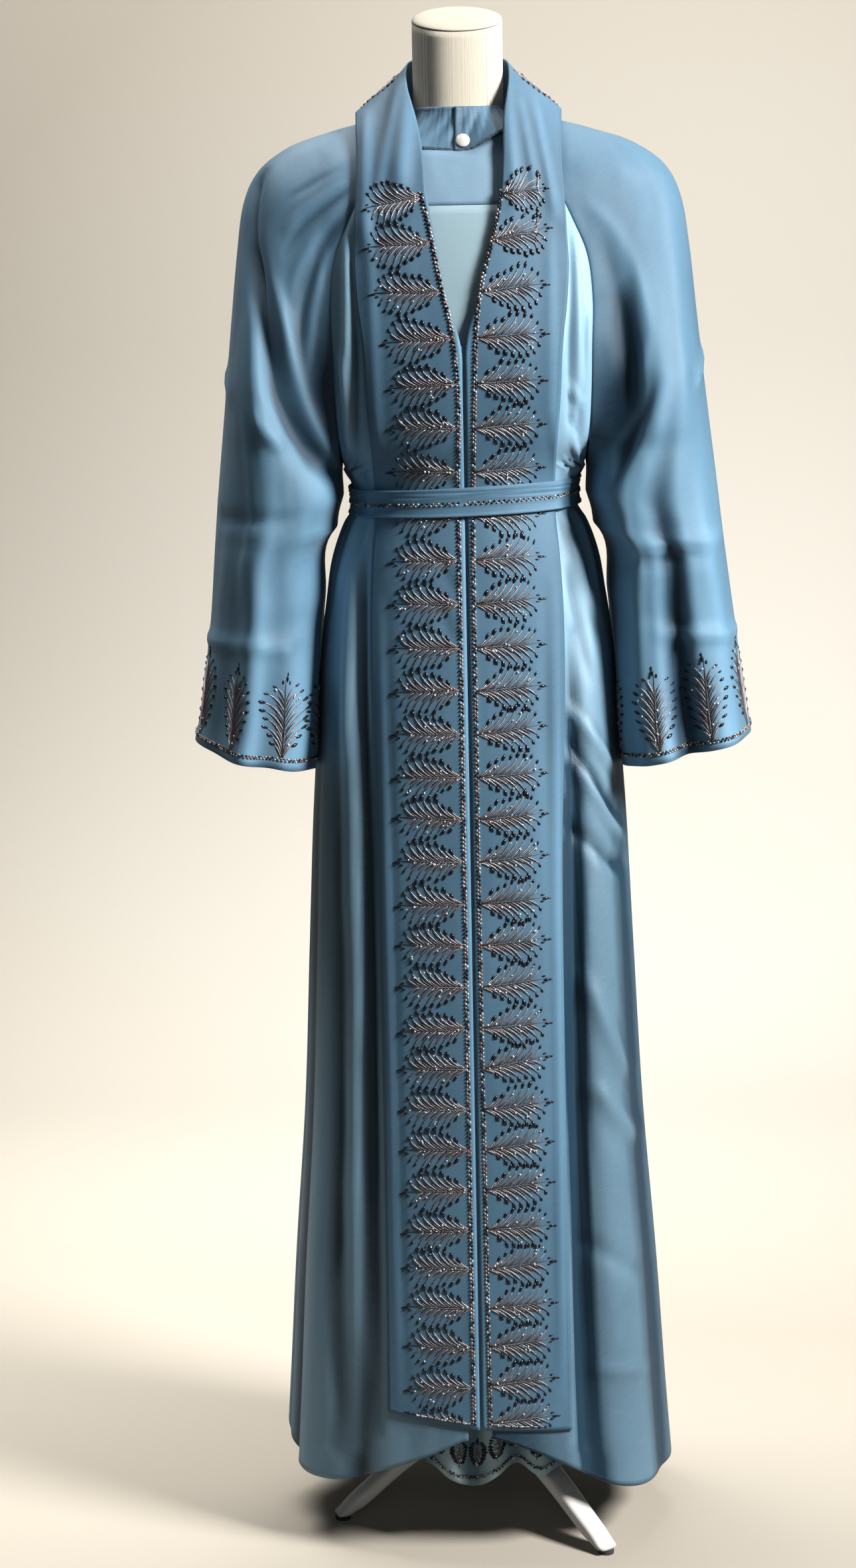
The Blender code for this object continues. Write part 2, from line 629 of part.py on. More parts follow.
def leg_grid(degrees, reach):
    """A wooden leg: a rounded bar carried along its curved path, its last ring flat over the pad."""
    heading = math.radians(degrees)
    along = np.array((math.cos(heading), math.sin(heading), 0.0))
    across = np.array((-math.sin(heading), math.cos(heading), 0.0))
    path = np.array([(reach * share, z) for share, z in LEG_PATH])
    path[0, 0] = HUB_RADIUS + SEAM
    tangent = np.gradient(path, axis=0)
    tangent /= np.linalg.norm(tangent, axis=1)[:, None]
    normal = np.stack((-tangent[:, 1], tangent[:, 0]), axis=-1)
    normal[0] = (0.0, 1.0)
    normal[-1] = (1.0, 0.0)
    turn = np.linspace(0.0, 2 * math.pi, 13)[:-1]
    side_push = np.sign(np.cos(turn)) * np.abs(np.cos(turn)) ** 0.6 * LEG_WIDTH / 2
    up_push = np.sign(np.sin(turn)) * np.abs(np.sin(turn)) ** 0.6 * LEG_DEPTH / 2
    rings = []
    for (r, z), (nr, nz), share in zip(path, normal, LEG_TAPER):
        centre = np.array((HUB_X, 0.0, z)) + along * r
        lift = along * nr + np.array((0.0, 0.0, nz))
        rings.append(centre + share * (side_push[:, None] * across + up_push[:, None] * lift))
    return np.array(rings)


def make_stand():
    """Pole, hub, three legs and their pads."""
    cylinder("stand_pole", POLE_RADIUS, HUB_TOP + SEAM, FORM_RINGS[-1][0] - SEAM, (HUB_X, 0.0), "steel")
    cylinder("stand_hub", HUB_RADIUS, HUB_BOTTOM, HUB_TOP, (HUB_X, 0.0), "white_wood", 24)
    for name, degrees, reach in LEGS:
        grid = leg_grid(degrees, reach)
        place("stand_leg_" + name, grid_mesh("leg", grid, closed=True, caps=True, flip=True), "white_wood")
        heading = math.radians(degrees)
        centre = (HUB_X + reach * math.cos(heading), reach * math.sin(heading))
        cylinder("stand_pad_" + name, PAD_RADIUS, 0.0, PAD_HEIGHT, centre, "rubber", 16)


def make_button():
    """Round pearl button on the stand collar."""
    bpy.ops.mesh.primitive_uv_sphere_add(segments=16, ring_count=8, radius=BUTTON_RADIUS)
    made = bpy.context.object
    made.name = "collar_button"
    made.data.transform(Matrix.Rotation(-BUTTON_TILT, 4, "X") @ Matrix.Diagonal((1.0, 0.32, 1.0, 1.0)))
    made.location = (BUTTON_X, BUTTON_Y, BUTTON_Z)
    for owner in list(made.users_collection):
        owner.objects.unlink(made)
    bpy.data.collections[COLLECTION].objects.link(made)
    made.data.materials.append(finish_material("pearl"))
    made.data.shade_smooth()


def make_garment():
    """All the cloth pieces, the wearer's right side at -X."""
    for name, side in (("right", -1.0), ("left", 1.0)):
        cloth("front_" + name, front_grid(side), PANEL_WALL, "satin", flip=side < 0)
        cloth("band_" + name, band_grid(side), BAND_WALL, "satin", flip=side < 0)
        for half, back in (("front", False), ("back", True)):
            flip = (side > 0) != back
            cloth("sleeve_%s_%s" % (name, half), sleeve_grid(side, back), PANEL_WALL, "satin", flip=flip)
    cloth("back", back_grid(), PANEL_WALL, "satin")
    cloth("inset_front", inset_grid(), PANEL_WALL, "matte_crepe")
    cloth("inset_yoke", yoke_grid(), PANEL_WALL, "satin")
    cloth("stand_collar", collar_grid(), PANEL_WALL, "satin")
    cloth("belt", belt_grid(), BELT_WALL, "satin", closed=True)
    make_button()


def main():
    clear_scene()
    collection = bpy.data.collections.new(COLLECTION)
    bpy.context.scene.collection.children.link(collection)
    make_form()
    make_stand()
    make_garment()


main()
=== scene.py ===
"""Looks of the abaya cloak on its dress form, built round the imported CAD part.

Metres, +Z up, the front faces -Y, and the wearer's right side is at -X. Every cloth piece is a fine
grid of points on the form of its CAD solid, with its creases added along the surface's own normal.
Embroidery is raised from the cloth as strokes: a small section carried along a path on the grid.
"""
import math

import bpy
import numpy as np
from mathutils import Matrix, Vector


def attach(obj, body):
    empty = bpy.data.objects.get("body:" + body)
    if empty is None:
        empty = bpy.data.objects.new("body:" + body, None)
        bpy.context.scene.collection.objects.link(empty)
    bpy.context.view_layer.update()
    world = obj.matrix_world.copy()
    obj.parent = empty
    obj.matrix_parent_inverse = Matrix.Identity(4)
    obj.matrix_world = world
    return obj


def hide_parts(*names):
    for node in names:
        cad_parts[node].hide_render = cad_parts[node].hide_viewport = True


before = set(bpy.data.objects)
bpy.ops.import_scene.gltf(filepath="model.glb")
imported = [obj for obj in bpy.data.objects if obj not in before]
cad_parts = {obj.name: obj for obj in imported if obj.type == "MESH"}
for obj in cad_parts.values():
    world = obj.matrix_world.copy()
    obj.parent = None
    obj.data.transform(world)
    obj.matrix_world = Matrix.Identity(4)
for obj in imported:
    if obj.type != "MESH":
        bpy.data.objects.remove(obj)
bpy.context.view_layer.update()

# Cloth
CLOTH = 0.0009            # thickness of the panels and sleeves
BAND_CLOTH = 0.0016       # thickness of the lined bands
BELT_CLOTH = 0.0014
COLLAR_CLOTH = 0.0013
PLACKET_CLOTH = 0.0008
PANEL_WALL = 0.0015       # walls and spaces of the CAD solids, which the layers keep
BAND_WALL = 0.0018
LIFT = 0.0013
BELT_EASE = 0.0006
SKIRT_CLEARANCE = 0.0050
SKIRT_SOFTNESS = 0.0025

SIDES = (("right", -1), ("left", 1))    # the wearer's right side is at -X

# Levels
TOP_Z = 1.516
UNDERARM_Z = 1.174
BELT_TOP = 1.157
BELT_BOTTOM = 1.128
HEM_BLEND_Z = 0.30
HEM_Z = 0.070
BAND_END_Z = 0.150
OPEN_NECK_Z = 1.460
OPEN_NECK_X = 0.050
BAND_OVERLAP = 0.009
BAND_JOIN_Z = 1.440
SHOULDER_DROP = 0.030
BAND_HEM_RISE = 0.016

# Body rings: the inner face of the front and back panels
RING_POWER = 2.3
RINGS = (  # z, half_width, front_depth, back_depth
    (1.54, 0.084, 0.044, 0.058), (1.522, 0.104, 0.058, 0.07), (1.5, 0.128, 0.075, 0.084),
    (1.46, 0.168, 0.097, 0.102), (1.4, 0.186, 0.116, 0.112), (1.35, 0.19, 0.124, 0.112),
    (1.3, 0.188, 0.127, 0.108), (1.25, 0.178, 0.122, 0.104), (1.205, 0.158, 0.114, 0.1),
    (1.174, 0.127, 0.106, 0.096), (1.157, 0.1195, 0.103, 0.094), (1.128, 0.1195, 0.103, 0.094),
    (1.11, 0.128, 0.106, 0.1), (1.08, 0.139, 0.109, 0.108), (1.035, 0.148, 0.114, 0.118),
    (0.83, 0.166, 0.127, 0.142), (0.65, 0.175, 0.138, 0.155), (0.47, 0.184, 0.147, 0.159),
    (0.29, 0.198, 0.157, 0.164), (0.15, 0.207, 0.163, 0.168), (0.04, 0.215, 0.168, 0.172),
)
RAGLAN = (  # z, half_width_at_seam
    (1.53, 0.089), (1.5, 0.093), (1.46, 0.101), (1.43, 0.114), (1.4, 0.127), (1.35, 0.134), (1.3, 0.133),
    (1.25, 0.132), (1.205, 0.1295), (1.19, 0.128), (1.174, 0.1265),
)
HEM = (  # degrees, z: 0 is the centre front, +90 the wearer's left side
    (-180.0, 0.074), (-140.0, 0.078), (-112.0, 0.09), (-96.0, 0.094), (-82.0, 0.08), (-66.0, 0.077),
    (-50.0, 0.08), (-36.0, 0.098), (-20.0, 0.118), (0.0, 0.14), (20.0, 0.122), (34.0, 0.098),
    (48.0, 0.071), (70.0, 0.063), (90.0, 0.064), (120.0, 0.07), (150.0, 0.076), (180.0, 0.074),
)
SKIRT_FOLDS = (  # degrees, half_spread, height
    (-172.0, 11.0, 0.011), (-151.0, 9.0, -0.011), (-132.0, 10.0, 0.01), (-112.0, 8.0, -0.01),
    (-97.0, 8.0, 0.006), (-79.0, 6.0, -0.009), (-62.0, 9.0, 0.006), (-44.0, 6.0, -0.007),
    (42.0, 6.0, -0.014), (57.0, 9.0, 0.005), (73.0, 7.0, -0.005), (103.0, 8.0, -0.009),
    (121.0, 10.0, 0.01), (141.0, 9.0, -0.011), (160.0, 9.0, 0.01), (178.0, 8.0, -0.008),
)
# Short folds that the belt draws in: each fades above and below it
GATHERS = (  # degrees, half_spread, height, reach_up, reach_down
    (-162.0, 4.0, 0.0022, 0.07, 0.11), (-147.0, 3.2, -0.0022, 0.055, 0.08),
    (-136.0, 3.6, 0.0024, 0.08, 0.12), (-121.0, 3.0, -0.0022, 0.06, 0.09),
    (-108.0, 3.8, 0.002, 0.075, 0.13), (-93.0, 3.0, -0.0024, 0.06, 0.1), (-83.0, 2.6, 0.0026, 0.05, 0.14),
    (-74.0, 2.2, -0.0024, 0.05, 0.16), (-66.0, 2.8, 0.0024, 0.07, 0.12), (-58.0, 2.0, -0.002, 0.06, 0.09),
    (58.0, 2.0, 0.0022, 0.09, 0.08), (64.0, 2.0, -0.0034, 0.07, 0.19), (71.0, 2.6, 0.003, 0.1, 0.14),
    (78.0, 2.0, -0.003, 0.08, 0.12), (86.0, 3.0, 0.0026, 0.06, 0.11), (97.0, 3.0, -0.0022, 0.06, 0.09),
    (110.0, 3.6, 0.0024, 0.08, 0.12), (124.0, 3.2, -0.0024, 0.055, 0.08), (137.0, 4.0, 0.0022, 0.07, 0.13),
    (152.0, 3.0, -0.002, 0.06, 0.1), (167.0, 3.6, 0.0022, 0.08, 0.09), (180.0, 3.2, -0.002, 0.06, 0.11),
)
# Creases on the front, as seen from the front, and on the back
FRONT_CREASES = (  # x0, z0, x1, z1, half_width, height
    (0.1095, 1.0, 0.111, 0.12, 0.0055, -0.0085), (0.13, 1.02, 0.14, 0.12, 0.014, 0.004),
    (-0.108, 1.04, -0.11, 0.14, 0.005, -0.005), (-0.124, 1.06, -0.132, 0.12, 0.008, 0.006),
    (-0.142, 0.94, -0.156, 0.12, 0.008, -0.007), (0.1, 0.935, 0.15, 0.85, 0.0034, 0.0046),
    (0.098, 0.905, 0.156, 0.79, 0.004, -0.0056), (0.104, 0.88, 0.162, 0.77, 0.0036, 0.005),
    (0.104, 0.8, 0.164, 0.735, 0.005, -0.0046), (0.116, 0.64, 0.16, 0.52, 0.0052, 0.004),
    (0.124, 0.52, 0.174, 0.44, 0.006, 0.004), (0.112, 0.35, 0.176, 0.3, 0.007, -0.0024),
    (0.12, 0.205, 0.186, 0.19, 0.006, 0.0021), (0.106, 1.07, 0.128, 0.95, 0.0036, -0.0036),
    (0.114, 1.095, 0.136, 1.01, 0.0034, 0.0036), (-0.104, 1.09, -0.112, 0.9, 0.004, -0.0039),
    (-0.116, 1.08, -0.13, 0.87, 0.0048, 0.003), (-0.11, 0.86, -0.118, 0.56, 0.006, 0.0024),
    (-0.134, 0.7, -0.142, 0.42, 0.007, -0.0024), (-0.112, 0.42, -0.118, 0.2, 0.006, 0.0021),
    (-0.15, 0.33, -0.164, 0.13, 0.008, 0.003), (0.116, 1.42, 0.122, 1.23, 0.0036, 0.0039),
    (0.108, 1.38, 0.11, 1.21, 0.003, -0.0033), (0.126, 1.33, 0.118, 1.2, 0.003, -0.003),
    (0.108, 1.262, 0.124, 1.236, 0.0026, 0.0027), (0.106, 1.228, 0.118, 1.214, 0.0024, -0.0027),
    (0.112, 1.204, 0.12, 1.178, 0.0022, 0.003), (-0.114, 1.43, -0.12, 1.25, 0.004, 0.0036),
    (-0.108, 1.34, -0.112, 1.2, 0.003, -0.0033), (-0.124, 1.3, -0.118, 1.19, 0.003, 0.003),
)
BACK_CREASES = (  # x0, z0, x1, z1, half_width, height
    (-0.06, 1.44, -0.092, 1.23, 0.008, -0.0024), (0.054, 1.45, 0.088, 1.24, 0.009, -0.0026),
    (-0.02, 1.38, -0.034, 1.2, 0.007, 0.0022), (0.018, 1.34, 0.03, 1.19, 0.006, 0.002),
    (-0.104, 1.06, -0.12, 0.9, 0.006, 0.0024), (0.096, 1.05, 0.11, 0.86, 0.006, -0.0022),
    (0.02, 0.98, 0.06, 0.9, 0.005, 0.0018), (-0.07, 0.78, -0.02, 0.72, 0.006, -0.0016),
    (0.04, 0.6, 0.11, 0.54, 0.007, 0.0018), (-0.13, 0.52, -0.06, 0.47, 0.007, 0.0016),
    (0.03, 0.33, 0.09, 0.28, 0.007, -0.0014),
)

# Sleeve loops from the neck to the cuff
LOOPS = (  # step, over_x_right, over_x_left, over_z, inner_x, inner_z, depth
    (0.0, 0.092, 0.092, 1.5335, 0.0, 1.516, 0.0), (0.1, 0.138, 0.138, 1.5215, 0.0, 1.482, 0.0),
    (0.2, 0.182, 0.184, 1.5055, 0.0, 1.445, 0.002), (0.28, 0.211, 0.215, 1.483, 0.0, 1.408, 0.006),
    (0.36, 0.227, 0.2315, 1.45, 0.0, 1.365, 0.01), (0.44, 0.235, 0.24, 1.4, 0.0, 1.325, 0.019),
    (0.52, 0.243, 0.2475, 1.33, 0.0, 1.272, 0.037), (0.6, 0.252, 0.257, 1.245, 0.0, 1.215, 0.06),
    (0.66, 0.2605, 0.2665, 1.165, 0.0, 1.174, 0.074), (0.74, 0.267, 0.2745, 1.095, 0.137, 1.11, 0.084),
    (0.82, 0.274, 0.285, 1.015, 0.15, 1.03, 0.088), (0.9, 0.282, 0.293, 0.956, 0.151, 0.955, 0.089),
    (0.96, 0.289, 0.3, 0.91, 0.153, 0.892, 0.088), (1.0, 0.295, 0.304, 0.884, 0.158, 0.852, 0.092),
)
UNDERARM_STEP = 0.66
FREE_STEP = 0.74
RELEASE_STEPS = 0.03      # how soon the inner edge leaves the seam after the underarm
LEAVE_STEPS = (0.56, 0.70)    # the loops change here from the raglan's section to the free sleeve's
UNDERARM_X = 0.130
LOOP_TURN = 0.74
BACK_CUFF_DROP = 0.020
UNDERARM_LAP = 0.0046
SLEEVE_FOLDS = {  # hanging folds of each sleeve half: along_loop, half_spread, height
    "right_front": ((0.14, 0.08, -0.008), (0.44, 0.13, 0.018), (0.84, 0.11, -0.020)),
    "left_front": ((0.24, 0.10, 0.014), (0.50, 0.08, -0.020), (0.71, 0.07, 0.010), (0.90, 0.06, -0.012)),
    "right_back": ((0.20, 0.07, 0.011), (0.37, 0.06, -0.010), (0.55, 0.08, 0.012), (0.73, 0.06, -0.011)),
    "left_back": ((0.17, 0.07, 0.010), (0.34, 0.06, -0.011), (0.50, 0.07, 0.012), (0.68, 0.06, -0.010)),
}
SLEEVE_CARRY = 0.080      # depth that a sleeve keeps below the underarm, all but its own inner edge
CARRY_STEPS = ((0.44, 0.58), (0.95, 0.50))    # it comes in over the first two, and goes from 0.50 to 0.95
CARRY_IN_STEPS = (0.44, 0.52)
CARRY_SHARE = (1.0, 0.76)    # along the loop, from the inner edge
UPPER_FOLDS = 0.12        # share of the folds' height above the underarm, and where folds grow
FOLD_STEPS = ((0.34, 0.60), (0.56, 0.90))
CUFF_WAVE = 0.0050        # soft waves of the cuff: height, how many, and the step where they start
CUFF_WAVES = 3.5
CUFF_WAVE_STEP = 0.82
# Creases of the sleeves by step down the sleeve and share along the loop, one table a sleeve half
SLEEVE_CREASES = {
    "right_front": (  # step0, along0, step1, along1, half_width, height
        (0.15, 0.88, 0.34, 0.66, 0.0034, 0.0014), (0.17, 0.92, 0.38, 0.68, 0.003, -0.0014),
        (0.2, 0.94, 0.44, 0.74, 0.0034, 0.0015), (0.25, 0.95, 0.5, 0.8, 0.0034, -0.0016),
        (0.31, 0.95, 0.54, 0.84, 0.0034, 0.0016), (0.12, 0.8, 0.28, 0.6, 0.0034, -0.0012),
        (0.27, 0.2, 0.48, 0.5, 0.01, -0.0075), (0.42, 0.42, 0.66, 0.84, 0.011, -0.011),
        (0.44, 0.66, 0.68, 0.96, 0.006, 0.004), (0.6, 0.4, 0.8, 0.37, 0.004, 0.002),
        (0.575, 0.02, 0.59, 0.26, 0.0045, 0.0032), (0.6, 0.46, 0.625, 0.62, 0.005, 0.0032),
        (0.705, 0.1, 0.712, 0.62, 0.005, -0.003), (0.845, 0.0, 0.85, 0.46, 0.0045, 0.0036),
        (0.852, 0.46, 0.862, 0.66, 0.0045, 0.003),
    ),
    "left_front": (
        (0.22, 0.88, 0.5, 0.66, 0.006, 0.0014), (0.3, 0.92, 0.62, 0.74, 0.006, -0.0018),
        (0.42, 0.84, 0.68, 0.76, 0.01, -0.008), (0.52, 0.7, 0.66, 0.84, 0.005, 0.003),
        (0.56, 0.66, 0.7, 0.78, 0.005, -0.003), (0.56, 0.06, 0.585, 0.34, 0.005, 0.0034),
        (0.735, 0.1, 0.76, 0.72, 0.0055, 0.0036), (0.752, 0.3, 0.775, 0.8, 0.005, -0.0034),
        (0.845, 0.02, 0.85, 0.6, 0.0045, 0.0036),
    ),
    "right_back": (
        (0.3, 0.28, 0.88, 0.3, 0.012, -0.0032), (0.24, 0.5, 0.78, 0.52, 0.012, 0.0032),
        (0.34, 0.72, 0.7, 0.78, 0.01, -0.0028), (0.62, 0.2, 0.66, 0.6, 0.006, 0.0018),
        (0.8, 0.1, 0.81, 0.5, 0.003, 0.0016),
    ),
    "left_back": (
        (0.28, 0.24, 0.86, 0.26, 0.012, 0.0032), (0.26, 0.46, 0.8, 0.44, 0.012, -0.0032),
        (0.32, 0.66, 0.72, 0.74, 0.01, 0.0028), (0.58, 0.3, 0.6, 0.72, 0.006, -0.0018),
        (0.78, 0.4, 0.8, 0.8, 0.003, 0.0016),
    ),
}

# Collar and front band
BAND_EDGES = (  # step, inner_x, inner_y, inner_z, outer_x, outer_y, outer_z
    (0.0, 0.0003, 0.057, 1.6, 0.0003, 0.09, 1.502), (1.0, 0.028, 0.0535, 1.599, 0.045, 0.0875, 1.507),
    (2.0, 0.0495, 0.023, 1.594, 0.084, 0.056, 1.526), (3.0, 0.0525, -0.008, 1.582, 0.104, 0.013, 1.542),
    (4.0, 0.05, -0.037, 1.558, 0.106, -0.03, 1.535), (5.0, 0.045, -0.06, 1.53, 0.105, -0.062, 1.504),
    (6.0, 0.0425, -0.08, 1.5, 0.1055, -0.083, 1.47), (7.0, 0.04, -0.0995, 1.462, 0.108, -0.097, 1.432),
)
BAND_FRONT = (  # z, inner_x, outer_x
    (1.46, 0.04, 0.106), (1.4, 0.027, 0.108), (1.348, 0.015, 0.106), (1.306, 0.004, 0.101),
    (1.25, 0.004, 0.098), (1.2, 0.004, 0.094), (1.145, 0.004, 0.091), (1.06, 0.004, 0.0975),
    (1.0, 0.004, 0.0995), (0.75, 0.004, 0.097), (0.45, 0.004, 0.0955), (0.15, 0.004, 0.0975),
)
LAPEL_SHIFT = {-1: -0.0055, 1: 0.0030}  # the opening sits a little towards the wearer's left at the chest
BAND_GAP_X = {-1: 0.0004, 1: 0.0022}    # below the V each band's inner edge comes this near the middle
BEAD_LINES = {  # side: z, half width of the bead line
    -1: ((1.480, 0.0450), (1.403, 0.0290), (1.360, 0.0200), (1.332, 0.0135), (1.286, 0.0068),
         (1.159, 0.0066), (0.851, 0.0067), (0.155, 0.0065)),
    1: ((1.480, 0.0450), (1.403, 0.0290), (1.360, 0.0205), (1.331, 0.0170), (1.301, 0.0140),
        (1.254, 0.0120), (1.174, 0.0095), (0.851, 0.0080), (0.155, 0.0110)),
}
MOTIF_TOP_Z = 1.4513      # heights of the sprays' midribs down the front
MOTIF_PITCH_TOP = 0.0466
MOTIF_PITCH_END = 0.0427
MOTIF_ROWS = 30
SPRAY_LENGTH = 0.0690
SPRAY_LEAN = {-1: math.radians(-1.0), 1: math.radians(4.0)}    # tips up from level
SPRAY_LEAN_SPREAD = math.radians(1.6)
TOP_SPRAYS = {  # side: lean in degrees and share of the length that the rolled edge shows, from the top
    -1: ((-10.0, 0.84), (-3.0, 0.95)),
    1: ((8.0, 0.66), (12.0, 0.84), (6.0, 0.95)),
}
CUFF_SPRAY_LENGTH = 0.0780

BAND_ARCH = 0.0040        # how far a band's middle stands up round the neck
BAND_SWAY = 0.0006        # soft unevenness of the bands, and the deepest that they may go
BAND_SINK = -0.0012

# Neck pieces
NECK_RADIUS = 0.0472
COLLAR_TOP_Z = 1.5455
COLLAR_FRONT_Z = 1.500
COLLAR_BACK_Z = 1.5315
COLLAR_RISE = 0.020       # rise of the lower edge towards the wearer's left
COLLAR_FLARE = 0.0655     # how far the lower edge stands in front of the neck's axis
COLLAR_LAP = 0.0018       # where one end lies over the other, and the collar's wrinkles
COLLAR_WRINKLES = (0.0006, 0.0004)
YOKE_BOTTOM_Z = 1.4450
YOKE_HALF_WIDTH = 0.047
YOKE_OFF_CENTRE = 0.001
INSET_HALF_WIDTH = 0.046
INSET_DEPTH = 0.0038
INSET_SLOPE_Z = 0.22
RUFFLE_WIDER = (0.014, 0.050)    # how much wider the inset grows towards the hem, right and left
RUFFLE_DEEPER = 0.0300    # how much further behind the skirt it hangs there, and the ruffle's waves
RUFFLE_WAVE = 0.0070
RUFFLE_WAVES = 3.5
INSET_HEM = (  # along_width, z
    (0.0, 0.098), (0.18, 0.082), (0.34, 0.07), (0.5, 0.086), (0.66, 0.096), (0.82, 0.082), (1.0, 0.094),
)

# Dress form and stand
NECK_BASE_Z = 1.5304
NECK_SEAM_Z = 1.6340
NECK_LEAN = math.tan(math.radians(16.0))
CAP_RISE = 0.0075
CAP_SEAM = 0.0010
HUB_X = 0.006
HUB_RADIUS = 0.030
LEGS = (  # name, degrees, reach
    ("front_left", -49.0, 0.196),
    ("front_right", 196.0, 0.168),
    ("rear", 78.0, 0.170),
)
LEG_PATH = (  # along_reach, z, size
    (0.165, 0.094, 1.0), (0.33, 0.085, 1.0), (0.5, 0.0695, 1.0), (0.66, 0.051, 0.98), (0.82, 0.0295, 0.94),
    (1.0, 0.0065, 0.88),
)
LEG_WIDTH = 0.028
LEG_DEPTH = 0.018

# Camera: measured from the photograph's own perspective
PHOTO_HEIGHT = 2364
FOCAL_PIXELS = 4790.27
CAMERA_DISTANCE = 3.4
CAMERA_HEIGHT = 1.45
CAMERA_PITCH = math.radians(10.3926)
CAMERA_ROLL = math.radians(1.1)
CAMERA_SIDE_PIXELS = 63.7


# ---- curves and surfaces

def curve(key, value, at):
    """Smooth cubic curve through values at rising keys; its slope at a key is the mean one there."""
    slope = np.gradient(value, key, axis=0)
    at = np.clip(np.asarray(at, dtype=float), key[0], key[-1])
    i = np.clip(np.searchsorted(key, at, side="right") - 1, 0, len(key) - 2)
    span = key[i + 1] - key[i]
    t = (at - key[i]) / span
    more = (None,) * (value.ndim - 1)
    t, span = t[(...,) + more], span[(...,) + more]
    return ((2 * t**3 - 3 * t**2 + 1) * value[i] + (t**3 - 2 * t**2 + t) * span * slope[i]
            + (3 * t**2 - 2 * t**3) * value[i + 1] + (t**3 - t**2) * span * slope[i + 1])


def spline(table, column, at):
    """The smooth curve through one column of a table, read at values of its first column."""
    rows = np.array(table, dtype=float)
    if rows[0, 0] > rows[-1, 0]:
        rows = rows[::-1]
    return curve(rows[:, 0], rows[:, column], at)


def ramp(start, end, at):
    """0 at start, 1 at end, with a soft rise between."""
    t = np.clip((np.asarray(at, dtype=float) - start) / (end - start), 0.0, 1.0)
    return t * t * (3.0 - 2.0 * t)


def bell(distance, spread):
    """Bell curve: 1 at no distance, a third at about the spread."""
    return np.exp(-0.5 * (distance / (0.6 * spread)) ** 2)


def fold_sum(folds, at):
    """Sum of rounded ridges and troughs, each a bell curve at its own place."""
    return sum(height * bell(at - place, spread) for place, spread, height in folds)


def crease_sum(table, a, b):
    """Sum of soft creases: a bell curve of the distance from a line, fading to both of its ends."""
    total = np.zeros_like(a)
    for a0, b0, a1, b1, spread, height in table:
        da, db = a1 - a0, b1 - b0
        share = ((a - a0) * da + (b - b0) * db) / (da * da + db * db)
        held = np.clip(share, 0.0, 1.0)
        away = np.hypot(a - a0 - held * da, b - b0 - held * db)
        fade = ramp(-0.12, 0.22, share) * ramp(1.12, 0.78, share)
        total = total + height * fade * bell(away, 1.6 * spread)
    return total


def signed(angle):
    """The same angles counted from minus half a turn to half a turn."""
    return np.where(angle > math.pi, angle - 2 * math.pi, angle)


def whole_turn(count):
    """Angles spaced evenly round a circle."""
    return np.linspace(0.0, 2 * math.pi, count + 1)[:-1]


def round_axis(radius, angle, z):
    """Points at a radius, angle and height round the body's axis, with angle 0 in front."""
    return np.stack((radius * np.sin(angle), -radius * np.cos(angle), z + 0.0 * angle), axis=-1)


def run_length(points, axis):
    """Length along rows or columns of points from the first one."""
    first = np.take(points, (0,), axis=axis)
    return np.cumsum(np.linalg.norm(np.diff(points, axis=axis, prepend=first), axis=-1), axis=axis)


def body_radius(angle, z):
    """Distance from the body's axis to the panels' inner face, with the skirt's folds."""
    half_width = spline(RINGS, 1, z)
    depth = np.where(np.cos(angle) > 0.0, spline(RINGS, 2, z), spline(RINGS, 3, z))
    radius = ((np.abs(np.sin(angle)) / half_width) ** RING_POWER
              + (np.abs(np.cos(angle)) / depth) ** RING_POWER) ** (-1.0 / RING_POWER)
    degrees = np.degrees(angle)
    growth = ramp(BELT_BOTTOM, 0.55, z) * 0.6 + 0.4 * ramp(0.60, HEM_Z, z)
    return radius + growth * sum(fold_sum(SKIRT_FOLDS, degrees + turn) for turn in (-360.0, 0.0, 360.0))


def body_point(angle, z, out=0.0):
    """A point on the body's surface, moved out from the axis."""
    return round_axis(body_radius(angle, z) + out, angle, z)


def angle_at(x, z, back=False):
    """The angle round the body at which the plain ring has this half width."""
    half_width = spline(RINGS, 1, z)
    depth = spline(RINGS, 3 if back else 2, z)
    share = np.clip(x / half_width, -0.9995, 0.9995)
    y = depth * (1.0 - np.abs(share) ** RING_POWER) ** (1.0 / RING_POWER)
    return np.arctan2(x, -y) if back else np.arctan2(x, y)


def plain_front(x, z):
    """Depth of the plain ring in front of the body's axis at this half width."""
    half_width = spline(RINGS, 1, z)
    return spline(RINGS, 2, z) * (1.0 - (np.abs(x) / half_width) ** RING_POWER) ** (1.0 / RING_POWER)


def seam_angle(z, back=False):
    """Angle of the raglan seam above the underarm, and of the side seam below it."""
    return np.where(z < UNDERARM_Z - 0.001, math.pi / 2, angle_at(spline(RAGLAN, 1, z), z, back))


def hem_height(z, angle):
    """Rows near the hem slope so that the last row follows the hem's own line."""
    hem = spline(HEM, 1, np.degrees(angle))
    low = HEM_BLEND_Z - (HEM_BLEND_Z - z) * (HEM_BLEND_Z - hem) / (HEM_BLEND_Z - HEM_Z)
    return np.where(z < HEM_BLEND_Z, low, z)


def body_relief(angle, z):
    """Gathers at the belt and creases of the front and back panels, as a height above the plain form."""
    degrees = np.degrees(angle)
    turned = (degrees + 180.0) % 360.0 - 180.0
    total = np.zeros_like(z + angle)
    for place, spread, height, up, down in GATHERS:
        above = ramp(BELT_TOP, BELT_TOP + 0.012, z) * ramp(BELT_TOP + up, BELT_TOP + 0.2 * up, z)
        below = ramp(BELT_BOTTOM, BELT_BOTTOM - 0.012, z)
        below = below * ramp(BELT_BOTTOM - down, BELT_BOTTOM - 0.2 * down, z)
        away = np.abs((turned - place + 180.0) % 360.0 - 180.0)
        total = total + height * bell(away, spread) * (above + below)
    point = body_point(angle, z)
    front = np.cos(angle) > 0.0
    creases = np.where(front, crease_sum(FRONT_CREASES, point[..., 0], point[..., 2]),
                       crease_sum(BACK_CREASES, point[..., 0], point[..., 2]))
    return total + creases


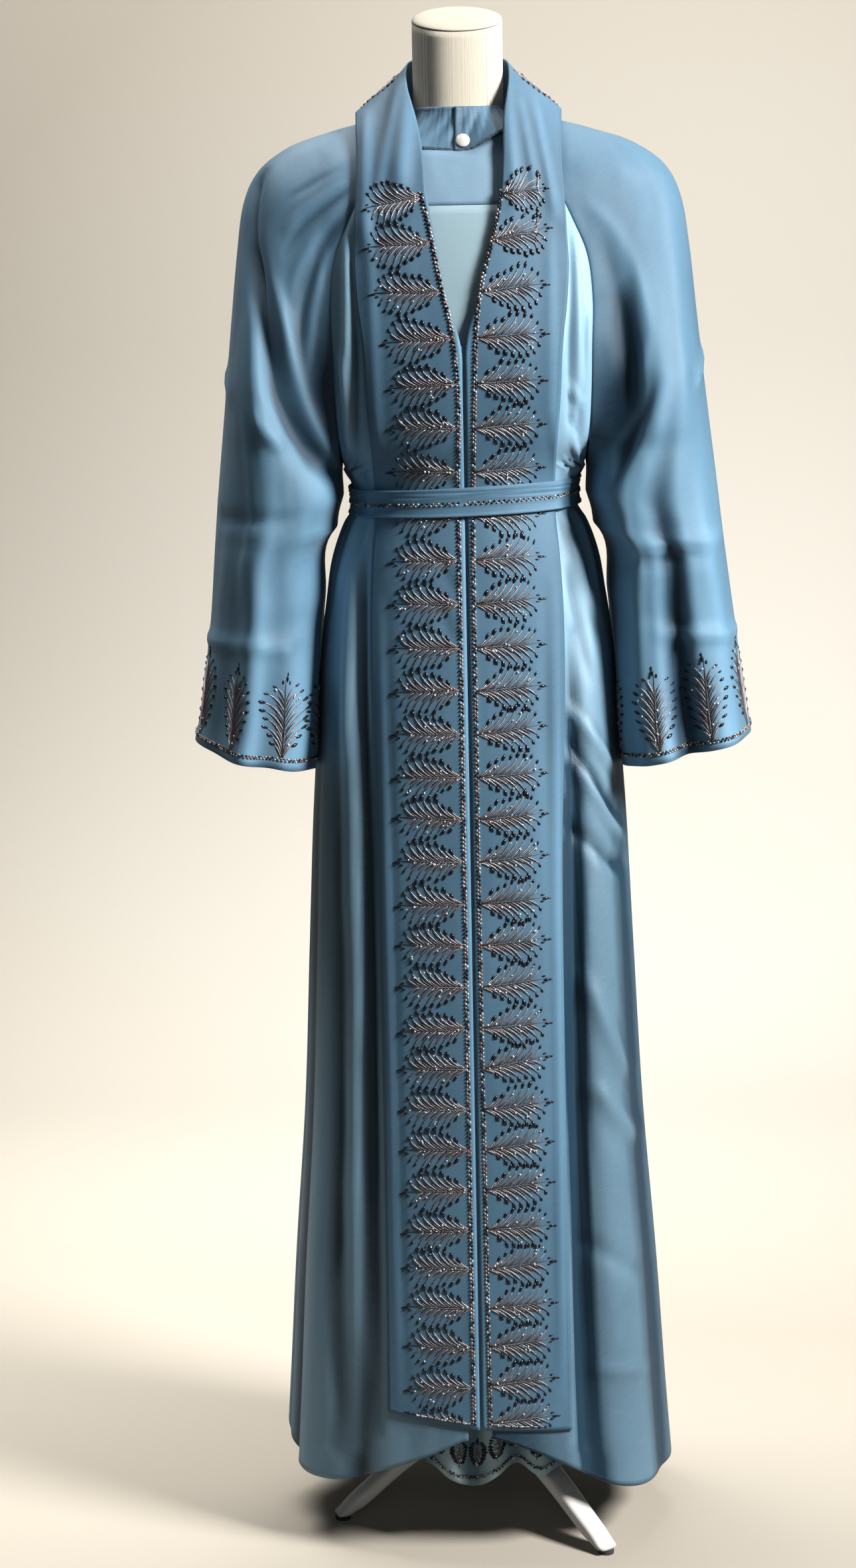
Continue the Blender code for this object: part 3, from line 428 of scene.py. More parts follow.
def under_band(x, z):
    """1 where the band lies over the panel and for a little way beside it, 0 further out."""
    edge = spline(BAND_FRONT, 2, z)
    return ramp(edge + 0.010, edge + 0.001, np.abs(x)) * ramp(1.50, 1.44, z)


def normals_of(grid):
    """Unit normals of a grid of points: the cross product of its two directions."""
    down = np.gradient(grid, axis=0)
    across = np.gradient(grid, axis=1)
    normal = np.cross(down, across)
    return normal / np.maximum(np.linalg.norm(normal, axis=-1, keepdims=True), 1e-12)


def raised(grid, height, sign):
    """The grid moved along its normals by a height of its own at each point."""
    return grid + sign * normals_of(grid) * height[..., None]


def read_grid(grid, row, column):
    """Points between a grid's points, weighted by how near each of the four round it is."""
    row = np.clip(row, 0.0, grid.shape[0] - 1.0001)
    column = np.clip(column, 0.0, grid.shape[1] - 1.0001)
    i, j = row.astype(int), column.astype(int)
    f, g = (row - i)[..., None], (column - j)[..., None]
    return ((grid[i, j] * (1 - g) + grid[i, j + 1] * g) * (1 - f)
            + (grid[i + 1, j] * (1 - g) + grid[i + 1, j + 1] * g) * f)


def refine(grid, rows, columns):
    """A coarse grid of points made fine: smooth curves through its rows, then through its columns."""
    step = np.linalg.norm(np.diff(grid, axis=0), axis=-1).mean(axis=1)
    key = np.concatenate(((0.0,), np.cumsum(step)))
    fine = curve(key, grid, np.linspace(0.0, key[-1], rows))
    key = np.linspace(0.0, 1.0, grid.shape[1])
    return curve(key, fine.swapaxes(0, 1), np.linspace(0.0, 1.0, columns)).swapaxes(0, 1)


# ---- meshes

def grid_faces(rows, columns, closed):
    """Four corners of each face of a grid; closed joins the last column to the first."""
    row = np.arange(rows - 1)[:, None]
    column = np.arange(columns if closed else columns - 1)[None, :]
    following = (column + 1) % columns
    return np.stack((row * columns + column, (row + 1) * columns + column,
                     (row + 1) * columns + following, row * columns + following), axis=-1).reshape(-1, 4)


def add_mesh(name, points, faces, material):
    """An object at the origin from an array of points and an array or list of faces."""
    mesh = bpy.data.meshes.new(name)
    if isinstance(faces, np.ndarray):
        count, sides = faces.shape
        mesh.vertices.add(len(points))
        mesh.vertices.foreach_set("co", points.astype(np.float32).ravel())
        mesh.loops.add(count * sides)
        mesh.loops.foreach_set("vertex_index", faces.astype(np.int32).ravel())
        mesh.polygons.add(count)
        mesh.polygons.foreach_set("loop_start", np.arange(0, count * sides, sides, dtype=np.int32))
    else:
        mesh.from_pydata(points.tolist(), [], faces)
    mesh.update(calc_edges=True)
    mesh.validate()
    mesh.shade_smooth()
    mesh.materials.append(material)
    made = bpy.data.objects.new(name, mesh)
    bpy.context.scene.collection.objects.link(made)
    return made


def write_uv(mesh, uv):
    """A UV map from one pair of numbers a vertex."""
    index = np.empty(len(mesh.loops), dtype=np.int32)
    mesh.loops.foreach_get("vertex_index", index)
    layer = mesh.uv_layers.new(name="cloth")
    layer.data.foreach_set("uv", uv[index].astype(np.float32).ravel())


def write_tone(mesh, tone):
    """A tone for each vertex: on cloth, painted shade below 0.5 in troughs and painted light above it on
    ridges; on embroidery strokes, a shade for each stroke.
    """
    layer = mesh.attributes.new("tone", "FLOAT", "POINT")
    layer.data.foreach_set("value", tone.astype(np.float32).ravel())


def cloth(name, grid, wall, material, flip=False, closed=False, tone=None):
    """A cloth piece: the grid is its inner face, and Solidify grows the wall outwards."""
    rows, columns = grid.shape[:2]
    faces = grid_faces(rows, columns, closed)
    made = add_mesh(name, grid.reshape(-1, 3), faces[:, ::-1] if flip else faces, material)
    write_uv(made.data, np.stack((run_length(grid, 1), -run_length(grid, 0)), axis=-1).reshape(-1, 2))
    write_tone(made.data, 0.5 * np.ones(rows * columns) if tone is None else tone.reshape(-1))
    thicken = made.modifiers.new("wall", "SOLIDIFY")
    thicken.thickness = wall
    thicken.offset = 1.0
    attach(made, "root")
    return made


def strokes(name, centre, normal, width, height, section, material, tone=None):
    """Many raised strokes in one mesh: a small closed section carried along each one's path.

    centre and normal are (strokes, steps, 3), width and height (strokes, steps). A point of the
    section is the centre moved sideways by its first number times the width, and up by its second
    times the height. Both ends are closed by a fan from the section's first point.
    """
    count, steps = centre.shape[:2]
    along = np.gradient(centre, axis=1)
    sideways = np.cross(along, normal)
    sideways /= np.maximum(np.linalg.norm(sideways, axis=-1, keepdims=True), 1e-12)
    section = np.array(section)
    sides = len(section)
    rings = (centre[:, :, None] + sideways[:, :, None] * (width[..., None] * section[:, 0])[..., None]
             + normal[:, :, None] * (height[..., None] * section[:, 1])[..., None])
    points = rings.reshape(-1, 3)
    step = np.arange(steps - 1)[:, None]
    side = np.arange(sides)[None, :]
    following = (side + 1) % sides
    quads = np.stack((step * sides + side, step * sides + following,
                      (step + 1) * sides + following, (step + 1) * sides + side), axis=-1).reshape(-1, 4)
    start = np.arange(sides - 2)
    first = np.stack((0 * start, start + 2, start + 1, 0 * start), axis=-1)
    last = np.stack((0 * start, start + 1, start + 2, 0 * start), axis=-1) + (steps - 1) * sides
    caps = np.concatenate((first, last))[:, :3]
    base = (np.arange(count) * steps * sides)[:, None, None]
    quads = (quads[None] + base).reshape(-1, 4)
    caps = (caps[None] + base).reshape(-1, 3)
    triangles = np.concatenate((quads[:, (0, 1, 2)], quads[:, (0, 2, 3)], caps))
    made = add_mesh(name, points, triangles, material)
    length, turn = np.broadcast_arrays(run_length(centre, 1)[..., None], np.linspace(0.0, 1.0, sides))
    write_uv(made.data, np.stack((length, turn), axis=-1).reshape(-1, 2))
    shade = 0.5 * np.ones(count) if tone is None else tone
    write_tone(made.data, np.repeat(shade, steps * sides))
    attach(made, "root")


THREAD_SECTION = ((-1.0, -0.3), (-0.55, 0.75), (0.0, 1.0), (0.55, 0.75), (1.0, -0.3))
BEAD_SECTION = tuple((math.cos(a), 0.35 + math.sin(a)) for a in whole_turn(6))[::-1]


# ---- the garment's surfaces

FRONT_GRID = (232, 56)    # rows, columns of each piece's fine grid
BACK_GRID = (232, 128)
SLEEVE_GRID = (128, 60)
BAND_GRID = (300, 28)
INSET_GRID = (150, 44)
YOKE_GRID = (24, 40)
COLLAR_GRID = (18, 150)
BELT_GRID = (26, 300)
SLEEVE_LENGTH = 0.70      # from the neck to the cuff, and half way round a loop, in metres
LOOP_LENGTH = 0.17
NECK_ROWS = 40            # the band's first rows run round the neck
NECK_SPRAY_ROWS = (4.0, 13.0, 22.0)
NECK_SPRAY_LENGTH = 0.0560
RUFFLE_SPRAY_LENGTH = 0.0300
STITCH_PITCH = 0.0032
STITCH_HALF_WIDTH = 0.00022
FRONT_SHARE = 0.96        # length of a spray as seen from the front against its length on the cloth
PLACKET_WIDTH = 0.0075    # half the strip behind the bands' gap, and where its groove and painted shadow line run
PLACKET_LINE_X = 0.0010
PLACKET_TOP_Z = 1.304
SEAM_DIP = 0.0007
BAND_CREASES = (  # x0, z0, x1, z1, half_width, height
    (-0.09, 1.04, -0.086, 0.18, 0.0035, 0.0014), (-0.083, 1.04, -0.08, 0.2, 0.003, -0.001),
    (0.091, 1.06, 0.088, 0.18, 0.0035, 0.0014), (0.083, 1.05, 0.082, 0.2, 0.003, -0.001),
    (-0.093, 1.43, -0.088, 1.19, 0.004, 0.0016), (0.092, 1.43, 0.09, 1.19, 0.004, 0.0014),
    (-0.049, 1.58, -0.062, 1.455, 0.0075, 0.0055), (-0.06, 1.57, -0.086, 1.45, 0.0045, 0.003),
    (-0.094, 1.54, -0.097, 1.4, 0.005, 0.0034), (-0.03, 1.09, -0.012, 1.05, 0.005, -0.001),
    (-0.03, 1.04, -0.014, 1.0, 0.005, -0.001), (-0.026, 1.19, -0.014, 1.16, 0.005, -0.001),
    (0.049, 1.58, 0.058, 1.44, 0.0065, 0.0045), (0.062, 1.56, 0.08, 1.45, 0.005, 0.003),
    (0.078, 1.55, 0.098, 1.43, 0.005, 0.0032), (0.086, 1.23, 0.09, 1.18, 0.004, -0.0009),
)
BELT_PLEATS = (  # share_down, half_spread, height, waves, shift
    (0.07, 0.045, 0.0011, 2.0, 0.4), (0.19, 0.04, 0.0013, 3.0, 1.7), (0.31, 0.04, 0.0012, 2.0, 3.1),
    (0.43, 0.035, 0.0009, 3.0, 4.4),
)
BELT_WANDER = (0.035, 0.012)    # how far the pleats stray, as shares of the belt's width
BELT_BEADS_AT = 0.55      # share down the belt
BELT_TILT = 0.004         # the belt rises this much towards the wearer's left


def front_surface(side):
    """A front panel: heights down the body, angles from under the band to the raglan and side seam."""
    rows, columns = FRONT_GRID
    z = np.linspace(TOP_Z, HEM_Z, rows)[:, None] * np.ones(columns)
    share = np.linspace(0.0, 1.0, columns)[None, :]
    edge = spline(BAND_FRONT, 1, z[:, :1]) + BAND_OVERLAP
    start = angle_at(np.where(z[:, :1] > OPEN_NECK_Z, OPEN_NECK_X, edge), z[:, :1])
    angle = side * (start + (seam_angle(z[:, :1]) - start) * share)
    level = hem_height(z, angle)
    plain = body_point(angle, level, PANEL_WALL - CLOTH)
    height = body_relief(angle, level) * (1.0 - under_band(plain[..., 0], level))
    height = height * ramp(1.0, 0.93, share) - SEAM_DIP * ramp(0.97, 1.0, share)
    return raised(plain, height, side)


def back_surface():
    """The back panel between the two raglan and side seams, by height and angle."""
    rows, columns = BACK_GRID
    z = np.linspace(TOP_Z, HEM_Z, rows)[:, None] * np.ones(columns)
    share = np.linspace(0.0, 1.0, columns)[None, :]
    start = seam_angle(z[:, :1], back=True)
    angle = start + (2 * math.pi - 2 * start) * share
    level = hem_height(z, signed(angle))
    plain = body_point(angle, level, PANEL_WALL - CLOTH)
    edges = ramp(0.0, 0.035, share) * ramp(1.0, 0.965, share)
    height = body_relief(angle, level) * edges - SEAM_DIP * ramp(0.015, 0.0, np.minimum(share, 1.0 - share))
    return raised(plain, height, 1.0)


def clear_of_skirt(point):
    """Push a sleeve point outwards where it would come closer than a few millimetres to the skirt."""
    x, y, z = point[..., 0], point[..., 1], point[..., 2]
    radius = np.hypot(x, y)
    share = ramp(UNDERARM_Z + 0.002, BELT_TOP, z)
    limit = body_radius(np.arctan2(x, -y), z) + PANEL_WALL + SKIRT_CLEARANCE
    pushed = limit + SKIRT_SOFTNESS * np.logaddexp(0.0, (radius - limit) / SKIRT_SOFTNESS)
    scale = (1.0 + share * (pushed / radius - 1.0))[..., None]
    return point * np.array((1.0, 1.0, 0.0)) * scale + point * np.array((0.0, 0.0, 1.0))


def sleeve_surface(side, back):
    """Half a sleeve: each loop swings from the overarm line to the raglan seam or underarm line,
    bulging forwards or backwards by the sine of the way along it. Below the underarm it keeps some of
    the seam's depth, which fades towards the cuff, and the hanging folds grow."""
    rows, columns = SLEEVE_GRID
    t = np.linspace(0.0, 1.0, rows)[:, None] * np.ones(columns)
    s = np.linspace(0.0, 1.0, columns)[None, :] * np.ones_like(t)
    facing = 1.0 if back else -1.0
    over_x = spline(LOOPS, 1 if side < 0 else 2, t)
    over_z = spline(LOOPS, 3, t)
    inner_z = spline(LOOPS, 5, t)
    held_z = np.maximum(inner_z, UNDERARM_Z)
    leave = ramp(*LEAVE_STEPS, t)
    seam = body_point(seam_angle(held_z, back), held_z, UNDERARM_LAP * leave)
    free = np.clip((t - UNDERARM_STEP) / RELEASE_STEPS, 0.0, 1.0)
    side_x = body_radius(math.pi / 2 + 0.0 * t, inner_z) + UNDERARM_LAP
    hung_x = spline(LOOPS, 4, np.maximum(t, FREE_STEP)) - side_x
    hung_x = side_x + hung_x * ramp(UNDERARM_STEP, FREE_STEP, t)
    inner_x = seam[..., 0] * (1.0 - free) + np.maximum(hung_x, UNDERARM_X) * free
    inner_y = seam[..., 1] * (1.0 - free)
    quarter = LOOP_TURN * math.pi / 2
    swing_open = (1.0 - np.cos(quarter * s)) / (1.0 - math.cos(quarter))
    swing = swing_open + ((1.0 - np.cos(math.pi * s)) / 2.0 - swing_open) * leave
    arch = np.maximum(np.sin(math.pi * s), 0.0)
    x = over_x + (inner_x - over_x) * swing
    z = over_z + (inner_z - over_z) * swing
    kept = SLEEVE_CARRY * ramp(*CARRY_STEPS[1], t) * ramp(*CARRY_STEPS[0], t)
    carried = facing * np.maximum(facing * seam[..., 1], kept) - inner_y
    y = inner_y + carried * ramp(*CARRY_SHARE, s) * ramp(*CARRY_IN_STEPS, t)
    y = y * np.sin(quarter * s) / math.sin(quarter)
    y = y + facing * spline(LOOPS, 6, t) * arch ** (1.6 - 0.75 * leave)
    name = ("left" if side > 0 else "right") + ("_back" if back else "_front")
    grown = UPPER_FOLDS * ramp(*FOLD_STEPS[0], t) + (1.0 - UPPER_FOLDS) * ramp(*FOLD_STEPS[1], t)
    wave = CUFF_WAVE * np.sin(2 * math.pi * CUFF_WAVES * s + side) * ramp(CUFF_WAVE_STEP, 1.0, t)
    y = y + facing * arch**0.9 * (grown * fold_sum(SLEEVE_FOLDS[name], s) + wave)
    z = z - (BACK_CUFF_DROP if back else 0.0) * ramp(0.80, 1.0, t) * arch
    grid = clear_of_skirt(np.stack((side * x, y, z), axis=-1))
    table = [(a0 * SLEEVE_LENGTH, b0 * LOOP_LENGTH, a1 * SLEEVE_LENGTH, b1 * LOOP_LENGTH, width, height)
             for a0, b0, a1, b1, width, height in SLEEVE_CREASES[name]]
    height = crease_sum(table, t * SLEEVE_LENGTH, s * LOOP_LENGTH) * ramp(0.10, 0.24, t)
    height = height * ramp(1.0, 0.94, s) - SEAM_DIP * ramp(0.985, 1.0, s) * ramp(0.70, 0.64, t)
    return raised(grid, height, -1.0 if (side > 0) != back else 1.0)


def band_surface(side):
    """Collar and front band: rows from the edge table round the neck, then rows down the body's front,
    made fine by smooth curves through both directions."""
    q = np.linspace(0.0, 1.0, 8)
    coarse = []
    for step in np.arange(0.0, 7.1, 0.5):
        inner = np.array([spline(BAND_EDGES, c, step) for c in (1, 2, 3)])
        outer = np.array([spline(BAND_EDGES, c, step) for c in (4, 5, 6)])
        inner[0] += LAPEL_SHIFT[side] * ramp(4.0, 6.5, step)
        row = inner + (outer - inner) * q[:, None]
        row[:, 2] += BAND_ARCH * np.sin(math.pi * q)
        coarse.append(row * np.array((side, 1.0, 1.0)))
    heights = np.concatenate((np.linspace(1.430, 1.185, 12), (1.165, 1.1425, 1.120),
                              np.linspace(1.09, 0.20, 16), (BAND_END_Z,)))
    for z in heights:
        near = (spline(BAND_FRONT, 1, z) - BAND_GAP_X[side]) * ramp(1.290, 1.335, z) + BAND_GAP_X[side]
        near += LAPEL_SHIFT[side] * ramp(1.340, 1.430, z)
        x = near + (spline(BAND_FRONT, 2, z) - near) * q
        drop = -SHOULDER_DROP * q * ramp(1.36, BAND_JOIN_Z, z)
        hem_rise = BAND_HEM_RISE * (q if side < 0 else -0.4 * q) * ramp(HEM_BLEND_Z, BAND_END_Z, z)
        level = z + drop + hem_rise
        coarse.append(body_point(side * angle_at(x, level), level, PANEL_WALL + LIFT))
    grid = refine(np.array(coarse), *BAND_GRID)
    height = crease_sum(BAND_CREASES, grid[..., 0], grid[..., 2]) * (grid[..., 1] < 0.0)
    edge = np.linspace(0.0, 1.0, BAND_GRID[1])[None, :]
    sway = BAND_SWAY * np.sin(23.0 * grid[..., 2] + 2.0 * edge + side) * np.sin(math.pi * edge)
    return raised(grid, np.maximum(height + sway, BAND_SINK) * ramp(1.0, 0.94, edge), side)


def inset_surface():
    """The panel behind the opening, with the ruffle that shows below the bands."""
    rows, columns = INSET_GRID
    z = np.linspace(YOKE_BOTTOM_Z, HEM_Z, rows)[:, None] * np.ones(columns)
    q = np.linspace(0.0, 1.0, columns)[None, :] + 0.0 * z
    wide = ramp(0.60, 0.20, z)
    left = -INSET_HALF_WIDTH - RUFFLE_WIDER[0] * wide
    right = INSET_HALF_WIDTH + RUFFLE_WIDER[1] * wide
    x = left + (right - left) * q
    slope = (INSET_SLOPE_Z - spline(INSET_HEM, 1, q)) / (INSET_SLOPE_Z - HEM_Z)
    level = np.where(z < INSET_SLOPE_Z, INSET_SLOPE_Z - (INSET_SLOPE_Z - z) * slope, z)
    depth_in = INSET_DEPTH + RUFFLE_DEEPER * ramp(0.70, 0.15, z)
    wave = RUFFLE_WAVE * np.sin(2 * math.pi * RUFFLE_WAVES * q + 0.6) * ramp(0.34, 0.12, z)
    return np.stack((x, -(plain_front(x, z) - depth_in) + wave, level), axis=-1)


def collar_edge(x):
    """Height of the stand collar's lower edge: low on the wearer's right, rising to the left."""
    return COLLAR_FRONT_Z + 0.003 * ramp(0.0, 0.046, -x) + COLLAR_RISE * ramp(0.006, 0.052, x)


def yoke_surface():
    """The upper chest piece between the stand collar and the inset; above the collar's lower edge it
    leans back and tucks in under the collar."""
    down = np.linspace(0.0, 1.0, YOKE_GRID[0])[:, None]
    x = np.linspace(-YOKE_HALF_WIDTH, YOKE_HALF_WIDTH, YOKE_GRID[1])[None, :] + YOKE_OFF_CENTRE + 0.0 * down
    edge = collar_edge(x)
    z = edge + 0.007 + (YOKE_BOTTOM_Z + 0.0005 - edge - 0.007) * down**1.5
    front = plain_front(x, np.minimum(z, COLLAR_FRONT_Z - 0.003)) - INSET_DEPTH
    back = 0.45 * np.maximum(z - COLLAR_FRONT_Z + 0.003, 0.0) + 0.012 * ramp(edge - 0.006, edge + 0.007, z)
    return np.stack((x, -(front - back), z), axis=-1)


def collar_surface():
    """Stand collar: a strip round the neck whose front dips, flares and laps over at the button."""
    angle = np.linspace(math.radians(-4.0), math.radians(358.0), COLLAR_GRID[1])[None, :]
    turned = signed(angle)
    v = np.linspace(0.0, 1.0, COLLAR_GRID[0])[:, None]
    front = ramp(math.radians(80.0), math.radians(50.0), np.abs(turned))
    across = COLLAR_FLARE * np.tan(np.clip(turned, -0.75, 0.75))
    low = COLLAR_BACK_Z + (collar_edge(across) - COLLAR_BACK_Z) * front
    z = COLLAR_TOP_Z + (low - COLLAR_TOP_Z) * v
    lap = COLLAR_LAP * ramp(math.radians(2.5), math.radians(-1.5), angle)
    base = NECK_RADIUS + 0.0009 + lap
    flare = COLLAR_FLARE / np.cos(np.clip(turned, -0.75, 0.75)) - base + lap
    wrinkle = COLLAR_WRINKLES[0] * np.sin(23.0 * angle + 9.0 * v) * np.sin(math.pi * v)
    wrinkle = wrinkle + COLLAR_WRINKLES[1] * np.sin(61.0 * angle)
    radius = base + 0.0020 * v + (flare - 0.0020) * front * v**1.5 + wrinkle * (0.3 + front)
    return round_axis(radius, angle, z)


def belt_surface():
    """Belt: a closed strip on the waist, its upper half drawn into thin wandering pleats."""
    rows, columns = BELT_GRID
    v, angle = np.meshgrid(np.linspace(0.0, 1.0, rows), whole_turn(columns), indexing="ij")
    z = BELT_TOP + (BELT_BOTTOM - BELT_TOP) * v
    x = np.abs(body_point(angle, z)[..., 0])
    over_band = np.where(np.abs(signed(angle)) < math.pi / 2, ramp(0.104, 0.092, x), 0.0)
    out = PANEL_WALL + LIFT + BELT_EASE + over_band * (BAND_WALL + LIFT)
    for place, spread, height, waves, shift in BELT_PLEATS:
        wander = BELT_WANDER[0] * np.sin(waves * angle + shift)
        wander = wander + BELT_WANDER[1] * np.sin(7.0 * angle + 2.0 * shift)
        out = out + height * (0.7 + 0.3 * np.sin(5.0 * angle + shift)) * bell(v - place - wander, spread)
    out = out + 0.0008 * bell(v - 0.97, 0.05) + 0.0005 * bell(v - 0.62, 0.04)
    point = body_point(angle, z, out)
    point[..., 2] += BELT_TILT * np.sin(angle) + 0.0014 * np.sin(2.0 * angle + 0.8) * (0.5 - v)
    return point


def placket_surface():
    """The narrow strip behind the gap between the bands, from the V down to the bands' hem."""
    z = np.linspace(PLACKET_TOP_Z, BAND_END_Z + 0.004, 200)[:, None]
    x = np.linspace(-PLACKET_WIDTH, PLACKET_WIDTH, 9)[None, :]
    z, x = z + 0.0 * x, x + 0.0 * z
    groove = 0.0006 * bell(x - PLACKET_LINE_X, 0.0022)
    return body_point(angle_at(x, z), z, PANEL_WALL - groove)


# ---- embroidery

BARBS = (  # start_along, end_along, end_out: shares of the spray's length
    (0.015, 0.19, 0.118), (0.07, 0.305, 0.182), (0.155, 0.42, 0.228), (0.26, 0.535, 0.258),
    (0.375, 0.65, 0.27), (0.495, 0.762, 0.26), (0.62, 0.864, 0.222), (0.755, 0.945, 0.142),
)
FILL_BARBS = (
    (0.035, 0.165, 0.054), (0.11, 0.275, 0.092), (0.205, 0.385, 0.122), (0.315, 0.5, 0.142),
    (0.432, 0.615, 0.148), (0.555, 0.73, 0.136), (0.685, 0.835, 0.102),
)
BARB_STEPS = 6
BARB_WIDTHS = (0.45, 0.90, 1.10, 1.10, 0.80, 0.34)    # at each step, shares of the thread's half width
MIDRIB_WIDTHS = (0.90, 1.00, 0.90, 0.80, 0.70, 0.40)
BEAD_STEM = 0.036         # from a barb's end to its teardrop
TIP_BEADS = (  # along, out, size
    (1.055, 0.022, 0.9), (1.0, 0.058, 0.6), (1.012, -0.04, 0.6), (1.115, 0.03, 0.55),
)
BEAD_PITCH = 0.0021
BELT_BEAD_PITCH = 0.0027
BEAD_SIZE = 0.0024
HEM_BEAD_SIZE = 0.0022    # on the cuffs and the ruffle
BELT_BEAD_SIZE = 0.0021
NAP_LIFT = 0.0010
NAP_PITCH = 0.0011
NAP_SIZE = 0.0019
CUFF_SPRAYS = 4           # on each half of a cuff
RUFFLE_SPRAYS = 7
CUFF_BEADS_UP = 0.0105    # above the cuff's edge
CUFF_STITCHES_UP = 0.0030
NECK_SPRAY_COLUMN = 2.5
SPARKLES = 10             # sequins on each spray
SEQUIN_HALF_WIDTHS = (0.0006, 0.0015)
SEQUIN_LIFT = 0.0011
SPRAY_UNEVEN = 0.07       # how unlike each other the sprays' barbs are
THREAD_HALF_WIDTH = 0.00112
BEAD_HALF_WIDTH = 0.00190
BEAD_HALF_LENGTH = 0.0038


def spray_paths():
    """One spray's strokes as (strokes, steps, 2) shares of its length: barbs curve away from the midrib."""
    paths, widths = [], []
    t = np.linspace(0.0, 1.0, BARB_STEPS)
    from_foot, from_bend, from_tip = ((1 - t) ** 2)[:, None], (2 * t * (1 - t))[:, None], (t**2)[:, None]
    for table, width in ((BARBS, 1.0), (FILL_BARBS, 0.88)):
        for up in (-1.0, 1.0):
            for start, end, out in table:
                bend = np.array((start + 0.72 * (end - start), 0.42 * out * up))
                tip = np.array((end, out * up))
                foot = np.array((start, 0.008 * up))
                paths.append(from_foot * foot + from_bend * bend + from_tip * tip)
                widths.append(width * np.array(BARB_WIDTHS))
    paths.append(np.stack((np.linspace(0.0, 1.04, BARB_STEPS), 0.004 * np.sin(6.0 * t)), axis=-1))
    widths.append(np.array(MIDRIB_WIDTHS))
    return np.array(paths), np.array(widths)


def spray_beads():
    """Teardrops at the barbs' ends and the small cluster at the tip: centres and headings."""
    places, headings, sizes = [], [], []
    for up in (-1.0, 1.0):
        for start, end, out in BARBS:
            heading = np.array((0.35 * (end - start), out * up))
            heading /= np.linalg.norm(heading)
            places.append(np.array((end, out * up)) + BEAD_STEM * heading)
            headings.append(heading)
            sizes.append(1.0 if end < 0.8 else 0.75)
    for along, out, size in TIP_BEADS:
        places.append(np.array((along, out)))
        headings.append(np.array((1.0, 0.0)))
        sizes.append(size)
    return np.array(places), np.array(headings), np.array(sizes)


def on_cloth(grid, normal, feet, up_axis, paths, length):
    """Carries (u, v) shares of a spray to the grid: feet are (sprays, 4) rows, columns, leans and shares
    of the full length, and up_axis is 0 where a spray grows against the rows, 1 along the columns.

    Where the band hangs down the front, each point is first placed as seen from the front, turned by
    the lean, and then its row and column are found in a few corrections.
    """
    lean = read_grid(grid, feet[:, 0] + 1.0, feet[:, 1]) - read_grid(grid, feet[:, 0] - 1.0, feet[:, 1])
    across = read_grid(grid, feet[:, 0], feet[:, 1] + 1.0) - read_grid(grid, feet[:, 0], feet[:, 1] - 1.0)
    per_row = 2.0 / np.linalg.norm(lean, axis=-1)[:, None, None]
    per_column = 2.0 / np.linalg.norm(across, axis=-1)[:, None, None]
    u, v = paths[..., 0] * length * feet[:, 3][:, None, None], paths[..., 1] * length
    if up_axis == 0:
        row, column = feet[:, :1, None] - u * per_row, feet[:, 1:2, None] + v * per_column
    else:
        row, column = feet[:, :1, None] + v * per_row, feet[:, 1:2, None] + u * per_column
        if feet[:, 0].min() > NECK_ROWS:
            foot = read_grid(grid, feet[:, 0], feet[:, 1])[:, None, None]
            side = np.sign(foot[..., 0])
            turn = feet[:, 2][:, None, None]
            x = foot[..., 0] + side * (u * np.cos(turn) + v * np.sin(turn)) * FRONT_SHARE
            z = foot[..., 2] + u * np.sin(turn) - v * np.cos(turn)
            seen = grid[..., (0, 2)]
            for _ in range(12):
                miss = np.stack((x, z), axis=-1) - read_grid(seen, row, column)
                by_row = read_grid(seen, row + 0.5, column) - read_grid(seen, row - 0.5, column)
                by_column = read_grid(seen, row, column + 0.5) - read_grid(seen, row, column - 0.5)
                whole = by_row[..., 0] * by_column[..., 1] - by_row[..., 1] * by_column[..., 0]
                whole = np.where(np.abs(whole) < 1e-9, 1e-9, whole)
                more_rows = (miss[..., 0] * by_column[..., 1] - miss[..., 1] * by_column[..., 0]) / whole
                more_columns = (by_row[..., 0] * miss[..., 1] - by_row[..., 1] * miss[..., 0]) / whole
                row = np.clip(row + np.clip(more_rows, -3.0, 3.0), 1.0, grid.shape[0] - 2.0)
                column = np.clip(column + np.clip(more_columns, -1.0, 1.0), 1.0, grid.shape[1] - 2.0)
    return read_grid(grid, row, column), read_grid(normal, row, column)


